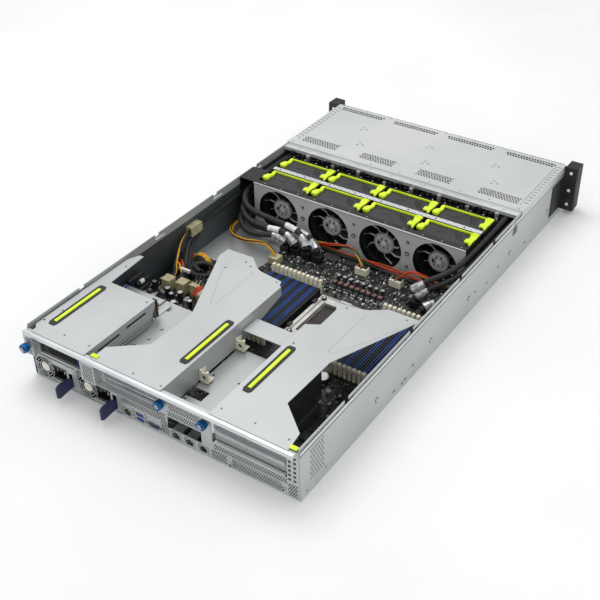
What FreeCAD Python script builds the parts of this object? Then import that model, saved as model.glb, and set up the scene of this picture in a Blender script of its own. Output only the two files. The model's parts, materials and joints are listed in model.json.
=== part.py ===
"""A 2U rack server with its rear top cover off, built from its separate pieces.

Millimetres. +Z is up, and Z = 0 is the underside of the chassis. The front, with the drive
bays and the rack ears, faces -Y, and the rear, with the ports and power supplies, faces +Y.
The origin is the middle of the chassis underside.
"""
import FreeCAD, Part
import math
import os

V = FreeCAD.Vector

# Chassis
BODY_W = 438.0            # width of the chassis, between the rack posts
BODY_L = 790.0            # length from the front edge to the rear panel
WALL_H = 85.0             # height of the side walls
SHEET = 1.2               # steel sheet
BAND_H = 13.0             # inward step along the top of each wall, which the covers overlap
JOGGLE = 1.2              # depth of that step
RUN = 0.3                 # gap between pieces that move past each other
HALF_W = BODY_W / 2
Y_REAR = BODY_L / 2
Y_FRONT = -BODY_L / 2
INNER_W = HALF_W - SHEET
BAND_IN = INNER_W - JOGGLE
BAND_Z = WALL_H - BAND_H
# Rear ends of the notches that lock the rear cover.
NOTCH_Y = (Y_FRONT + 277.0, Y_FRONT + 386.0, Y_FRONT + 529.0, Y_REAR - 99.0)
NOTCH_W = 9.0
NOTCH_D = 9.5
NOTCH_RUN = 14.0
NOTCH_SLOT = 4.5

# Front cover and drive cage
COVER_L = 187.0
COVER_STEP = 13.0         # width of the lowered strip that the rear cover overlaps
COVER_DROP = 1.4
BAY_COLS = 4
BAY_ROWS = 3
CAGE_WALL = 1.0
SHELF = 0.8
BEZEL_T = 6.0
BEZEL_GAP = 0.4
DRIVE_W = 101.6
DRIVE_H = 24.6
DRIVE_L = 147.0
BACKPLANE_T = 2.0
BACKPLANE_Y = Y_FRONT + 181.0
LEVER_W = 12.0
LEVER_T = 2.0

# Rack ears
EAR_W = 22.3              # each ear, beside the chassis
EAR_SPAN = BODY_W + 2 * EAR_W
EAR_Z0 = 6.5
EAR_Z1 = 86.0
EAR_REAR = 5.0            # the mounting face stands this far behind the chassis front
EAR_T = 3.0
EAR_FRONT = Y_FRONT - 20.0
EAR_LEG_L = 46.0
RACK_HOLE_PITCH = EAR_SPAN - 17.5
RACK_HOLE_R = 3.5
RACK_HOLE_Z = 24.0
SCREW_POCKET_R = 7.0
BUTTON_R = 3.5
BUTTON_Z = 66.0
BUTTON_PROUD = 1.0
BUTTON_L = 6.0
PORT_W = 13.2
PORT_H = 5.6

# Fans
FAN_COLS = 4
FAN_PITCH = 95.0
FAN_X0 = HALF_W - 80.0    # centre of the first column
FAN_W = 84.0
FAN_D = 39.0
FAN_H = 76.6
FAN_Z0 = 4.0
FAN_BORE_R = 36.5
WALL_BORE_R = 37.5        # airflow openings in the sheets before and behind the fans
FAN_ROW_Y = (Y_FRONT + 256.3, Y_FRONT + 306.4)   # rear faces of the front and the rear row
HUB_R = 18.0
ROTOR_R = 35.7
ROTOR_D = 24.0
ROTOR_GAP = 0.6           # between the rotor and the motor plate
SHAFT_R = 4.0             # stub on the motor plate that the rotor turns on
SHAFT_L = 9.0
BLADES = 7
BLADE_T = 1.8
BLADE_PITCH = 38.0
STRUTS = 9
STRUT_LEAN = 22.0         # how far each strut turns between the motor plate and the bore
ROUND_SIDES = 28          # sides of the large round openings
STRUT_W = 1.8
STRUT_D = 3.0
LATCH_W = 6.0
LATCH_L = 28.0
LATCH_H = 4.4
LATCH_INSET = 4.0
BAR_T = 2.6
LID_T = 1.6
FAN_Z = FAN_Z0 + (FAN_H - LID_T) / 2   # axis of every rotor
CAGE_T = 1.2
CAGE_FRONT_Y = Y_FRONT + 214.0
MID_BAR_Y0 = Y_FRONT + 257.2
MID_BAR_Y1 = MID_BAR_Y0 + 9.3
FAN_WALL_Y = Y_FRONT + 317.0
FAN_WALL_TOP = 84.0
STRIP_L = 9.5
WALL_HOLE_R = 2.6

# Rear panel
PANEL_TOP = 78.5
LIP_Y0 = Y_REAR + 4.8
LIP_Y1 = LIP_Y0 + 5.4
LIP_Z0 = 74.0
LIP_Z1 = 80.2
LIP_R = 1.5
FRAME_Y = Y_REAR + 10.0           # outer face of the two posts that stand out at the left
FRAME_Z0 = 43.0
FRAME_Z1 = 75.0
FLANGE_X0 = HALF_W - 17.0
FLANGE_X1 = HALF_W - 1.6
STRIP_X0 = HALF_W - 127.0
STRIP_X1 = STRIP_X0 + 24.0
BAY_X0 = HALF_W - 101.0
BAY_X1 = FLANGE_X0 - 1.0
BAY_Z0 = 45.6
BAY_Z1 = 73.5
SLOT1 = (-5.0, STRIP_X0 - 1.5, 45.6, 72.0)     # x and z limits of the left card opening
SLOT2 = (19.0 - HALF_W, -89.0, 30.0, 72.0)     # and of the right one
OCP = (-72.0, -18.0, 18.0, 37.0)               # mezzanine card opening

# Power supplies
PSU_W = 73.5
PSU_H = 40.0
PSU_L = 185.0
PSU_Y0 = Y_REAR - PSU_L   # inner end
PSU_X = (HALF_W - 79.0, HALF_W - 157.0)        # right edge of each
PSU_Z = 1.5
PSU_TONGUE = 8.0          # length of the contact tongue at the inner end
DOCK_Z = 13.0             # height of that tongue
DOCK_H = 14.0
DOCK_L = 10.0
PSU_FAN_R = 17.0
PSU_FAN_X = 56.5          # from the right edge
PSU_HUB_R = 9.0
PSU_RECESS = 7.0
INLET_X0 = 17.0
INLET_W = 27.0
INLET_H = 19.5
INLET_Z0 = 10.0
INLET_D = 14.0
TAB_X = 7.5
TAB_T = 2.6
TAB_L = 29.0
TAB_Z0 = 8.0
TAB_Z1 = 27.0
TAB_SEAT = 6.0

# Riser and drive-bay brackets
PLATE_Z = 80.0            # top of the bracket plates
PLATE_REAR = Y_REAR + 3.6
DIVIDE_X = HALF_W - 106.0  # right face of the left bracket
CHANNEL_X = -15.0         # right face of the centre bracket
RIGHT_X = -90.0           # left edge of the right bracket
SIDE_Z0 = 48.0
HANDLE_W = 13.0
HANDLE_L = 104.0
HANDLE_H = 5.0
GRIP_W = 5.0
GRIP_H = 2.2
CARD_T = 1.6
CARD_X = (48.0, -152.0)   # face of each riser card that carries the slots
CARD_Z0 = 22.0            # lower edge of the riser cards, just over their sockets
SCREW_HEAD_R = 6.2
SCREW_HEAD_L = 10.5
SCREW_R = 2.0
SCREW_Z = 59.0
SCREW_TIP = 3.0

# Boards
BOARD_Z = 8.0
BOARD_T = 1.6
BOARD_X0 = 5.0 - HALF_W
BOARD_X1 = HALF_W - 119.0
BOARD_Y0 = FAN_WALL_Y + 12.0
BOARD_Y1 = Y_REAR - 5.0
BOARD_STEP_X = 57.0
BOARD_STEP_Y = BOARD_Y0 + 241.0
POWER_X0 = BOARD_X1 + 3.0
POWER_X1 = HALF_W - 5.0
DOCK_X0 = HALF_W - 159.0            # the power board reaches in front of both supplies
POWER_Y0 = BOARD_Y0 + 122.0
POWER_Y1 = PSU_Y0 - 2.5
DIMM_PITCH = 7.62
DIMM_COUNT = 12
DIMM_X = (-16.0, BOARD_X0 + 3.0)  # last socket's centre in each bank
DIMM_Y0 = BOARD_Y0 + 108.0
DIMM_L = 141.0
DIMM_W = 6.0
DIMM_H = 12.0
DIMM_SLOT_W = 1.6
DIMM_SLOT_D = 5.0
DLATCH_W = 5.0
DLATCH_D = 7.0
DLATCH_H = 24.0
CPU_X = -69.0
CPU_Y = BOARD_Y0 + 169.0
CPU_W = 84.0
CPU_L = 108.0
CPU_FRAME_H = 9.0
CPU_WINDOW_W = 58.0
CPU_WINDOW_L = 76.0
CABLE_R = 4.0
WIRE_R = 2.2              # bundles of supply wires
FAN_WIRE_R = 1.8          # bundles of fan wires
CABLE_SIDES = 6           # a cable is swept with a six-sided section
WIRE_SIDES = 5
STANDOFF_R = 3.2
CEIL_Z = 43.0             # ceiling over the power supplies
CEIL_Y0 = Y_REAR - 163.0
TRAY_Z = 40.0
TRAY_Y0 = Y_REAR - 195.0

PARTS = {}
X_AXIS = V(1, 0, 0)
Y_AXIS = V(0, 1, 0)
Z_AXIS = V(0, 0, 1)


def rear(distance):
    """Y of a place that far in front of the rear panel."""
    return Y_REAR - distance


def front(distance):
    """Y of a place that far behind the front edge."""
    return Y_FRONT + distance


def aft(distance):
    """Y of a place that far behind the fan wall."""
    return FAN_WALL_Y + distance


def box(x0, x1, y0, y1, z0, z1):
    """Box between two corners."""
    return Part.makeBox(x1 - x0, y1 - y0, z1 - z0, V(x0, y0, z0))


def rod(x, y, z, axis, radius, length):
    """Cylinder from a point along an axis."""
    return Part.makeCylinder(radius, length, V(x, y, z), axis)


def prism(x, y, z, axis, radius, length, sides):
    """Straight prism with a regular outline, from a point along an axis."""
    across = Z_AXIS if axis != Z_AXIS else X_AXIS
    corners = []
    for i in range(sides + 1):
        turn = FreeCAD.Rotation(axis, 360.0 / sides * (i % sides + 0.5))
        corners.append(V(x, y, z) + turn.multVec(across * radius))
    return Part.Face(Part.makePolygon(corners)).extrude(axis * length)


def flat(points, z0, z1):
    """Plate with an outline in X and Y."""
    wire = Part.makePolygon([V(x, y, z0) for x, y in points + points[:1]])
    return Part.Face(wire).extrude(V(0, 0, z1 - z0))


def upright(points, x0, x1):
    """Plate with an outline in Y and Z."""
    wire = Part.makePolygon([V(x0, y, z) for y, z in points + points[:1]])
    return Part.Face(wire).extrude(V(x1 - x0, 0, 0))


def facing(points, y0, y1):
    """Plate with an outline in X and Z."""
    wire = Part.makePolygon([V(x, y0, z) for x, z in points + points[:1]])
    return Part.Face(wire).extrude(V(0, y1 - y0, 0))


def fuse(shapes):
    """One solid from several that touch or overlap."""
    return shapes[0].multiFuse(shapes[1:]).removeSplitter()


def cut(shape, tools):
    """The shape less every tool."""
    return shape.cut(tools)


def keep(name, *shapes):
    """Store a node's solids under its name."""
    PARTS[name] = shapes[0] if len(shapes) == 1 else Part.makeCompound(list(shapes))


def chassis_base():
    """Floor and both side walls, folded from one sheet, with the standoffs pressed in."""
    pieces = [box(-HALF_W, HALF_W, Y_FRONT, Y_REAR, 0, SHEET)]
    for side in (1, -1):
        low = sorted((side * INNER_W, side * HALF_W))
        high = sorted((side * BAND_IN, side * INNER_W))
        step = sorted((side * BAND_IN, side * HALF_W))
        pieces.append(box(low[0], low[1], Y_FRONT, Y_REAR, 0, BAND_Z))
        pieces.append(box(high[0], high[1], Y_FRONT, Y_REAR, BAND_Z - SHEET, WALL_H))
        pieces.append(box(step[0], step[1], Y_FRONT, Y_REAR, BAND_Z - SHEET, BAND_Z))
    for x, y in standoff_places():
        pieces.append(prism(x, y, 0, Z_AXIS, STANDOFF_R, BOARD_Z, 6))
    body = fuse(pieces)
    notches = []
    for side in (1, -1):
        x0 = min(side * (BAND_IN - RUN), side * (HALF_W + RUN))
        x1 = max(side * (BAND_IN - RUN), side * (HALF_W + RUN))
        for y in NOTCH_Y:
            deep = WALL_H - NOTCH_D
            notches.append(box(x0, x1, y - NOTCH_W, y, deep, WALL_H + 1))
            notches.append(box(x0, x1, y - NOTCH_W - NOTCH_RUN, y, deep, deep + NOTCH_SLOT))
    keep("chassis_base", cut(body, notches))


def standoff_places():
    """Where the boards rest."""
    main_x = (BOARD_X0 + 12, (BOARD_X0 + BOARD_STEP_X) / 2, BOARD_STEP_X - 12)
    main_y = (BOARD_Y0 + 15, DIMM_Y0 + DIMM_L + 20, BOARD_Y1 - 60)
    places = [(x, y) for x in main_x for y in main_y]
    for y in (POWER_Y0 + 12, POWER_Y1 - 12):
        places += [(POWER_X0 + 10, y), (POWER_X1 - 10, y)]
    return places


def front_cover():
    """Fixed cover over the drive cage, with the lowered strip along its rear edge."""
    y1 = Y_FRONT + COVER_L
    y_step = y1 - COVER_STEP
    low = WALL_H - COVER_DROP
    side_gap = BAND_IN - RUN
    pieces = [box(-HALF_W, HALF_W, Y_FRONT, y_step, WALL_H, WALL_H + SHEET)]
    pieces.append(box(-side_gap, side_gap, y_step - SHEET, y_step, low - SHEET, WALL_H + SHEET))
    pieces.append(box(-side_gap, side_gap, y_step - SHEET, y1, low - SHEET, low))
    pieces.append(box(-side_gap, side_gap, y1 - SHEET, y1, low - 6.0, low))
    for side in (1, -1):
        x = sorted((side * INNER_W, side * HALF_W))
        pieces.append(box(x[0], x[1], Y_FRONT, y_step, BAND_Z, WALL_H + SHEET))
    keep("front_cover", fuse(pieces))


def bay_pitch():
    """Width and height that one drive bay takes up."""
    pitch_x = (2 * (BAND_IN - RUN) - CAGE_WALL) / BAY_COLS
    pitch_z = (WALL_H - SHEET - 2 * RUN - SHELF) / BAY_ROWS
    return pitch_x, pitch_z


def bay_centres():
    """Middle of each bay in X and Z, row by row."""
    pitch_x, pitch_z = bay_pitch()
    places = []
    for row in range(BAY_ROWS):
        for col in range(BAY_COLS):
            x = BAND_IN - RUN - CAGE_WALL / 2 - pitch_x * (col + 0.5)
            z = SHEET + RUN + SHELF / 2 + pitch_z * (row + 0.5)
            places.append((x, z))
    return places


def drive_cage():
    """Sheet partitions that make the twelve drive bays."""
    pitch_x, pitch_z = bay_pitch()
    half = BAND_IN - RUN
    z0 = SHEET + RUN
    z1 = WALL_H - RUN
    y0 = Y_FRONT + 1.0
    y1 = Y_FRONT + COVER_L - COVER_STEP - SHEET - RUN
    solids = []
    for col in range(BAY_COLS + 1):
        x = -half + pitch_x * col
        solids.append(box(x, x + CAGE_WALL, y0, y1, z0, z1))
        for row in range(BAY_ROWS + 1):
            z = z0 + pitch_z * row
            if col < BAY_COLS:
                solids.append(box(x + CAGE_WALL, x + pitch_x, y0, y1, z, z + SHELF))
    keep("drive_cage", *solids)


def drive_backplane():
    """Board behind the bays, with its airflow windows and the drive connectors."""
    half = BAND_IN - RUN
    board = box(-half, half, BACKPLANE_Y - BACKPLANE_T, BACKPLANE_Y, SHEET + RUN, WALL_H - 8)
    windows = []
    plugs = []
    for x, z in bay_centres():
        windows.append(box(x - 44, x - 6, BACKPLANE_Y - 4, BACKPLANE_Y + 2, z - 7, z + 5))
        y1 = BACKPLANE_Y - BACKPLANE_T
        plugs.append(box(x + 4, x + 44, y1 - 7.5, y1, z - 5, z + 1))
    board = cut(board, windows)
    keep("drive_backplane", fuse([board] + plugs))


def drive_carriers():
    """Twelve hot-swap carriers, each with its bezel, lever and drive."""
    pitch_x, pitch_z = bay_pitch()
    half_w = (pitch_x - CAGE_WALL) / 2 - BEZEL_GAP
    half_h = (pitch_z - SHELF) / 2 - BEZEL_GAP
    y0 = Y_FRONT - BEZEL_T
    for number, (x, z) in enumerate(bay_centres(), 1):
        bezel = box(x - half_w, x + half_w, y0, Y_FRONT, z - half_h, z + half_h)
        cells = []
        for i in range(4):
            cx = x - half_w + 20 + i * 18.0
            cells.append(box(cx, cx + 15, y0 - 1, Y_FRONT + 1, z - half_h + 3, z + half_h - 3))
        lever_x = x + half_w - LEVER_W - 1.0
        cells.append(box(lever_x, lever_x + LEVER_W, y0 - 1, y0 + 3, z - half_h + 2, z + half_h - 2))
        bezel = cut(bezel, cells)
        rails = []
        for side in (1, -1):
            edge = sorted((side * half_w, side * (half_w - 1.5)))
            rails.append(box(x + edge[0], x + edge[1], Y_FRONT, Y_FRONT + DRIVE_L, z - 10, z + 3))
        bezel = fuse([bezel] + rails)
        lever = box(lever_x + RUN, lever_x + LEVER_W - RUN, y0 + 3 - LEVER_T, y0 + 3,
                    z - half_h + 2.3, z + half_h - 2.3)
        drive = box(x - DRIVE_W / 2, x + DRIVE_W / 2, Y_FRONT, Y_FRONT + DRIVE_L,
                    z - half_h + 0.2, z - half_h + 0.2 + DRIVE_H)
        drive = cut(drive, rails)
        keep("drive_carrier_%d" % number, bezel, lever, drive)


def rack_ears():
    """Ear brackets and their bezels, with the rack screw holes."""
    y1 = Y_FRONT + EAR_REAR
    solids = []
    for side in (1, -1):
        x_in = HALF_W
        x_out = EAR_SPAN / 2
        flange = box(x_in, x_out, y1 - EAR_T, y1, EAR_Z0, EAR_Z1)
        leg = box(x_in, x_in + SHEET, y1 - EAR_T, y1 + EAR_LEG_L, EAR_Z0 + 4, BAND_Z - 4)
        bracket = fuse([flange, leg])
        bezel = box(x_in + 2.0, x_out, EAR_FRONT, y1 - EAR_T, EAR_Z0, EAR_Z1)
        hole_x = RACK_HOLE_PITCH / 2
        hole = rod(hole_x, y1 + 1, RACK_HOLE_Z, -Y_AXIS, RACK_HOLE_R, EAR_T + 2)
        pocket = prism(hole_x, y1 - EAR_T, RACK_HOLE_Z, -Y_AXIS, SCREW_POCKET_R, 40, 24)
        bracket = cut(bracket, [hole])
        tools = [pocket]
        mid = (x_in + 2.0 + x_out) / 2
        if side > 0:
            tools.append(prism(mid, EAR_FRONT, BUTTON_Z, Y_AXIS, BUTTON_R + RUN, BUTTON_L + RUN, 20))
        else:
            for z in (46.0, 62.0):
                tools.append(box(mid - PORT_H / 2, mid + PORT_H / 2, EAR_FRONT - 1, EAR_FRONT + 12,
                                 z - PORT_W / 2, z + PORT_W / 2))
        bezel = cut(bezel, tools)
        for solid in (bracket, bezel):
            if side < 0:
                solid = solid.mirror(V(0, 0, 0), X_AXIS)
            solids.append(solid)
    keep("rack_ears", *solids)
    mid = (HALF_W + 2.0 + EAR_SPAN / 2) / 2
    button = prism(mid, EAR_FRONT - BUTTON_PROUD, BUTTON_Z, Y_AXIS, BUTTON_R, BUTTON_L, 20)
    keep("power_button", button)


def fan_x(col):
    """Centre of a fan column."""
    return FAN_X0 - FAN_PITCH * col


def fan_openings(y0, y1, radius):
    """Round cutters for the four airflow openings of one wall."""
    return [prism(fan_x(c), y0, FAN_Z, Y_AXIS, radius, y1 - y0, ROUND_SIDES) for c in range(FAN_COLS)]


def fan_cage():
    """Frame that holds both fan rows: floor, middle bar, cheeks, top strip and end box."""
    x1 = FAN_X0 + FAN_PITCH / 2
    x0 = fan_x(FAN_COLS - 1) - FAN_PITCH / 2
    z0 = SHEET
    floor_top = FAN_Z0 - RUN
    y0 = CAGE_FRONT_Y
    y1 = FAN_WALL_Y
    solids = [box(x0, x1, y0 + CAGE_T, y1, z0, floor_top)]
    middle = box(x0, x1, MID_BAR_Y0, MID_BAR_Y1, floor_top, FAN_WALL_TOP)
    hollow = box(x0 - 1, x1 + 1, MID_BAR_Y0 + CAGE_T, MID_BAR_Y1 - CAGE_T, 0, FAN_WALL_TOP - CAGE_T)
    tools = fan_openings(MID_BAR_Y0 - 1, MID_BAR_Y1 + 1, WALL_BORE_R)
    solids.append(cut(middle, [hollow] + tools))
    strip = box(x0, x1, y1 - STRIP_L, y1, FAN_WALL_TOP - CAGE_T, FAN_WALL_TOP)
    solids.append(strip)
    for col in range(FAN_COLS + 1):
        x = x1 - FAN_PITCH * col
        x = min(max(x - CAGE_T / 2, x0), x1 - CAGE_T)
        solids.append(box(x, x + CAGE_T, y0 + CAGE_T, MID_BAR_Y0, floor_top, FAN_WALL_TOP))
        solids.append(cut(box(x, x + CAGE_T, MID_BAR_Y1, y1, floor_top, FAN_WALL_TOP), [strip]))
    end_box = box(x1 + RUN, BAND_IN - RUN, y1 - 42, y1 - 1, SHEET, FAN_WALL_TOP)
    end_core = box(x1 + RUN + CAGE_T, BAND_IN - RUN - CAGE_T, y1 - 43, y1 + 1, SHEET, FAN_WALL_TOP - CAGE_T)
    keep("fan_cage", *solids, cut(end_box, [end_core]))


def fan_wall():
    """Sheets before and behind the fan rows; the rear one has small round holes between its openings."""
    x1 = FAN_X0 + FAN_PITCH / 2
    x0 = fan_x(FAN_COLS - 1) - FAN_PITCH / 2
    sheet = box(x0, x1, FAN_WALL_Y, FAN_WALL_Y + CAGE_T, SHEET, FAN_WALL_TOP)
    tools = fan_openings(FAN_WALL_Y - 1, FAN_WALL_Y + 3, WALL_BORE_R)
    for col in range(FAN_COLS - 1):
        x = (fan_x(col) + fan_x(col + 1)) / 2
        for z in (22.0, 46.0, 66.0):
            tools.append(prism(x, FAN_WALL_Y - 1, z, Y_AXIS, WALL_HOLE_R, 4, 10))
    y0 = CAGE_FRONT_Y
    plate = box(x0, x1, y0, y0 + CAGE_T, SHEET, FAN_WALL_TOP)
    keep("fan_wall", cut(sheet, tools), cut(plate, fan_openings(y0 - 1, y0 + 3, WALL_BORE_R)))


def strut_outline(x, z):
    """Outline of one leaning strut, from the motor plate to the bore."""
    reach = [HUB_R - 2, (HUB_R + FAN_BORE_R) / 2 - 1, FAN_BORE_R + RUN]
    lean = [0.0, -STRUT_LEAN * 0.35, -STRUT_LEAN]
    inner = []
    outer = []
    for r, angle in zip(reach, lean):
        middle = math.radians(angle)
        half = STRUT_W / 2 / r
        inner.append((x + r * math.cos(middle - half), z + r * math.sin(middle - half)))
        outer.append((x + r * math.cos(middle + half), z + r * math.sin(middle + half)))
    return inner + outer[::-1]


def fan_housing(x, y1):
    """Frame of one fan with its bore, struts and motor plate, and the lid on top."""
    z = FAN_Z
    y0 = y1 - FAN_D
    outer = box(x - FAN_W / 2, x + FAN_W / 2, y0, y1, FAN_Z0, FAN_Z0 + FAN_H - LID_T)
    frame = cut(outer, [prism(x, y0 - 1, z, Y_AXIS, FAN_BORE_R, FAN_D + 2, ROUND_SIDES)])
    spokes = [prism(x, y1 - STRUT_D, z, Y_AXIS, HUB_R, STRUT_D, ROUND_SIDES // 2)]
    spokes.append(prism(x, y1, z, -Y_AXIS, SHAFT_R, STRUT_D + SHAFT_L, 12))
    for i in range(STRUTS):
        spoke = facing(strut_outline(x, z), y1 - STRUT_D, y1)
        spoke.rotate(V(x, y1, z), Y_AXIS, 360.0 / STRUTS * i + 12)
        spokes.append(spoke)
    frame = fuse([frame] + spokes)
    lid = box(x - FAN_W / 2, x + FAN_W / 2, y0, y1, FAN_Z0 + FAN_H - LID_T, FAN_Z0 + FAN_H)
    return frame, lid


def fan_handle(x, y1):
    """Bar along the front edge of the lid with a finger latch at each end."""
    top = FAN_Z0 + FAN_H
    y0 = y1 - FAN_D
    inset = FAN_W / 2 - LATCH_INSET
    pieces = [box(x - inset, x + inset, y0, y0 + BAR_T, top, top + BAR_T)]
    for side in (1, -1):
        x0 = x + side * inset - LATCH_W / 2
        profile = [(y0, top), (y0 + 8, top), (y0 + 13, top + 2.0), (y0 + LATCH_L - 5, top + 1.5),
                   (y0 + LATCH_L, top), (y0 + LATCH_L, top + 3), (y0 + 16, top + LATCH_H),
                   (y0 + 8, top + LATCH_H), (y0, top + BAR_T)]
        pieces.append(upright(profile, x0, x0 + LATCH_W))
    return fuse(pieces)


def fan_rotor(x, y1):
    """Hub with its ring of pitched blades."""
    z = FAN_Z
    y0 = y1 - STRUT_D - ROTOR_GAP - ROTOR_D
    hub = prism(x, y0, z, Y_AXIS, HUB_R - 1.5, ROTOR_D, ROUND_SIDES // 2)
    tip = math.sqrt(ROTOR_R ** 2 - (ROTOR_D / 2) ** 2)
    slab = box(x - ROTOR_R, x + ROTOR_R, y0, y0 + ROTOR_D, z - ROTOR_R, z + ROTOR_R)
    blades = []
    for i in range(BLADES):
        blade = box(x + HUB_R - 4, x + tip, y0 - 10, y0 + ROTOR_D + 10, z - BLADE_T / 2, z + BLADE_T / 2)
        blade.rotate(V(x, y0 + ROTOR_D / 2, z), X_AXIS, BLADE_PITCH)
        blade = blade.common(slab)
        blade.rotate(V(x, y0, z), Y_AXIS, 360.0 / BLADES * i)
        blades.append(blade)
    seat = prism(x, y0 + ROTOR_D + 1, z, -Y_AXIS, SHAFT_R + 2 * RUN, SHAFT_L + 1, 12)
    return cut(fuse([hub] + blades), [seat])


def fans():
    """Two rows of four hot-swap fan modules."""
    number = 0
    for row_y in FAN_ROW_Y:
        for col in range(FAN_COLS):
            number += 1
            x = fan_x(col)
            frame, lid = fan_housing(x, row_y)
            keep("fan_module_%d" % number, frame, lid, fan_handle(x, row_y))
            keep("fan_rotor_%d" % number, fan_rotor(x, row_y))


def rear_panel():
    """Stepped rear panel with its openings, the two posts at the left and the top lip."""
    y0 = Y_REAR - SHEET
    w = INNER_W - RUN
    high = BAND_IN - RUN
    low_part = box(-w, w, y0, Y_REAR, SHEET + 0.1, BAND_Z - SHEET - RUN)
    panel = low_part.fuse(box(-high, high, y0, Y_REAR, SHEET + 0.1, PANEL_TOP))
    holes = [
        box(PSU_X[0] - 0.7, w + 1, y0 - 1, Y_REAR + 1, 0, CEIL_Z),
        box(PSU_X[1] - 0.7, PSU_X[1] + PSU_W + 0.7, y0 - 1, Y_REAR + 1, 0, CEIL_Z),
        box(BAY_X0, BAY_X1, y0 - 1, Y_REAR + 1, BAY_Z0, BAY_Z1),
        box(SLOT1[0], SLOT1[1], y0 - 1, Y_REAR + 1, SLOT1[2], SLOT1[3]),
        box(SLOT2[0], SLOT2[1], y0 - 1, Y_REAR + 1, SLOT2[2], SLOT2[3]),
        box(OCP[0], OCP[1], y0 - 1, Y_REAR + 1, OCP[2], OCP[3]),
    ]
    for x0, x1, z0, z1 in port_places().values():
        holes.append(box(x0 - RUN, x1 + RUN, y0 - 1, Y_REAR + 1, z0 - RUN, z1 + RUN))
    for x in (-203.5, -211.0):
        for i in range(6):
            z = 27.0 + i * 7.2
            holes.append(box(x - 2, x + 2, y0 - 1, Y_REAR + 1, z, z + 4.4))
    panel = cut(panel, holes)
    shelf = box(-w + 3, high, y0, LIP_Y0 + SHEET, PANEL_TOP - SHEET, PANEL_TOP)
    lip = box(-w + 3, w, LIP_Y0, LIP_Y1, LIP_Z0, LIP_Z1)
    long_edges = [e for e in lip.Edges if abs(e.Vertexes[0].X - e.Vertexes[-1].X) > BODY_W / 2]
    lip = lip.makeFillet(LIP_R, [e for e in long_edges if e.Vertexes[0].Y > LIP_Y1 - 0.1])
    pieces = [panel, shelf, lip]
    for x0, x1 in ((FLANGE_X0, FLANGE_X1), (STRIP_X0, STRIP_X1)):
        pieces.append(box(x0, x1, FRAME_Y - SHEET, FRAME_Y, FRAME_Z0, FRAME_Z1))
        pieces.append(box(x0, x0 + SHEET, y0, FRAME_Y, FRAME_Z0, FRAME_Z1))
        pieces.append(box(x1 - SHEET, x1, Y_REAR, FRAME_Y, FRAME_Z0, FRAME_Z1))
        pieces.append(box(x0, x1, y0, FRAME_Y, FRAME_Z0, FRAME_Z0 + SHEET))
    pieces.append(box(SLOT1[0] - 3, STRIP_X1, y0, FRAME_Y - 2, FRAME_Z0, FRAME_Z0 + SHEET))
    body = fuse(pieces)
    screw_holes = []
    for x, y_face in screw_places():
        screw_holes.append(prism(x, y_face - 8, SCREW_Z, Y_AXIS, SCREW_R + 2 * RUN, 9, 12))
    keep("rear_panel", cut(body, screw_holes))


def screw_places():
    """Axis of each captive thumbscrew and the face that its head turns on."""
    return [(210.0, FRAME_Y), (-13.0, Y_REAR), (-81.0, Y_REAR)]


def thumbscrews():
    """Three captive screws with round heads and a slot across each."""
    for number, (x, y_face) in enumerate(screw_places(), 1):
        y = y_face + RUN
        head = prism(x, y, SCREW_Z, Y_AXIS, SCREW_HEAD_R, SCREW_HEAD_L, 24)
        collar = prism(x, y, SCREW_Z, Y_AXIS, SCREW_HEAD_R - 1.4, 2.2, 24)
        waist = cut(prism(x, y, SCREW_Z, Y_AXIS, SCREW_HEAD_R + 1, 2.2, 24), [collar])
        shank = prism(x, y_face - SCREW_TIP, SCREW_Z, Y_AXIS, SCREW_R, SCREW_TIP + 2, 12)
        end = y + SCREW_HEAD_L
        slot = box(x - SCREW_HEAD_R * 0.6, x + SCREW_HEAD_R * 0.6, end - 1.5, end + 1,
                   SCREW_Z - 0.7, SCREW_Z + 0.7)
        keep("thumbscrew_%d" % number, cut(fuse([head, shank]), [waist, slot]))


def port_places():
    """X and Z limits of each port's mouth in the rear panel."""
    z0 = BOARD_Z - 4.0
    return {
        "manage": (44.0, 59.5, z0, z0 + 13.0),
        "usb": (23.0, 36.5, z0, z0 + 15.0),
        "vga": (-3.0, 15.0, z0, z0 + 9.0),
        "lan_a": (-37.5, -22.0, z0, z0 + 11.5),
        "lan_b": (-59.5, -44.0, z0, z0 + 11.5),
        "lan_c": (-81.5, -66.0, z0, z0 + 11.5),
    }


def io_ports():
    """Shells of the rear ports, each open to the back."""
    shells = []
    for name, (x0, x1, z0, z1) in port_places().items():
        shell = box(x0, x1, Y_REAR - 20, Y_REAR + 0.6, max(z0, BOARD_Z + BOARD_T), z1)
        snout = box(x0, x1, BOARD_Y1 + RUN, Y_REAR + 0.6, z0, z1)
        shell = fuse([shell, snout])
        if name == "usb":
            mouths = []
            for level in (z0 + 1.0, z0 + 8.5):
                mouths.append(box(x0 + 0.8, x1 - 0.8, Y_REAR - 4, Y_REAR + 2, level, level + 5.4))
        elif name == "vga":
            mouths = [box(x0 + 1, x1 - 1, Y_REAR - 4, Y_REAR + 2, z0 + 1, z1 - 1)]
        else:
            low = box(x0 + 2, x1 - 2, Y_REAR - 4, Y_REAR + 2, z0 + 1.2, z0 + 8)
            tongue = box(x0 + 5, x1 - 5, Y_REAR - 4, Y_REAR + 2, z0 + 7, z1 - 1.0)
            mouths = [low, tongue]
        shells.append(cut(shell, mouths))
    keep("io_ports", *shells)


def psu_cage():
    """Ceiling and partitions around the power supplies."""
    y1 = Y_REAR - SHEET - 0.1
    left = INNER_W - RUN
    right = PSU_X[1] - 1.0 - SHEET
    ceiling = box(right, left, CEIL_Y0, y1, CEIL_Z, CEIL_Z + SHEET)
    gap_x = (PSU_X[0] + PSU_X[1] + PSU_W) / 2
    divider = box(gap_x - SHEET / 2, gap_x + SHEET / 2, PSU_Y0, y1, SHEET, CEIL_Z)
    side = box(right, right + SHEET, PSU_Y0, y1, SHEET, CEIL_Z)
    keep("psu_cage", fuse([ceiling, divider, side]))


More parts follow.
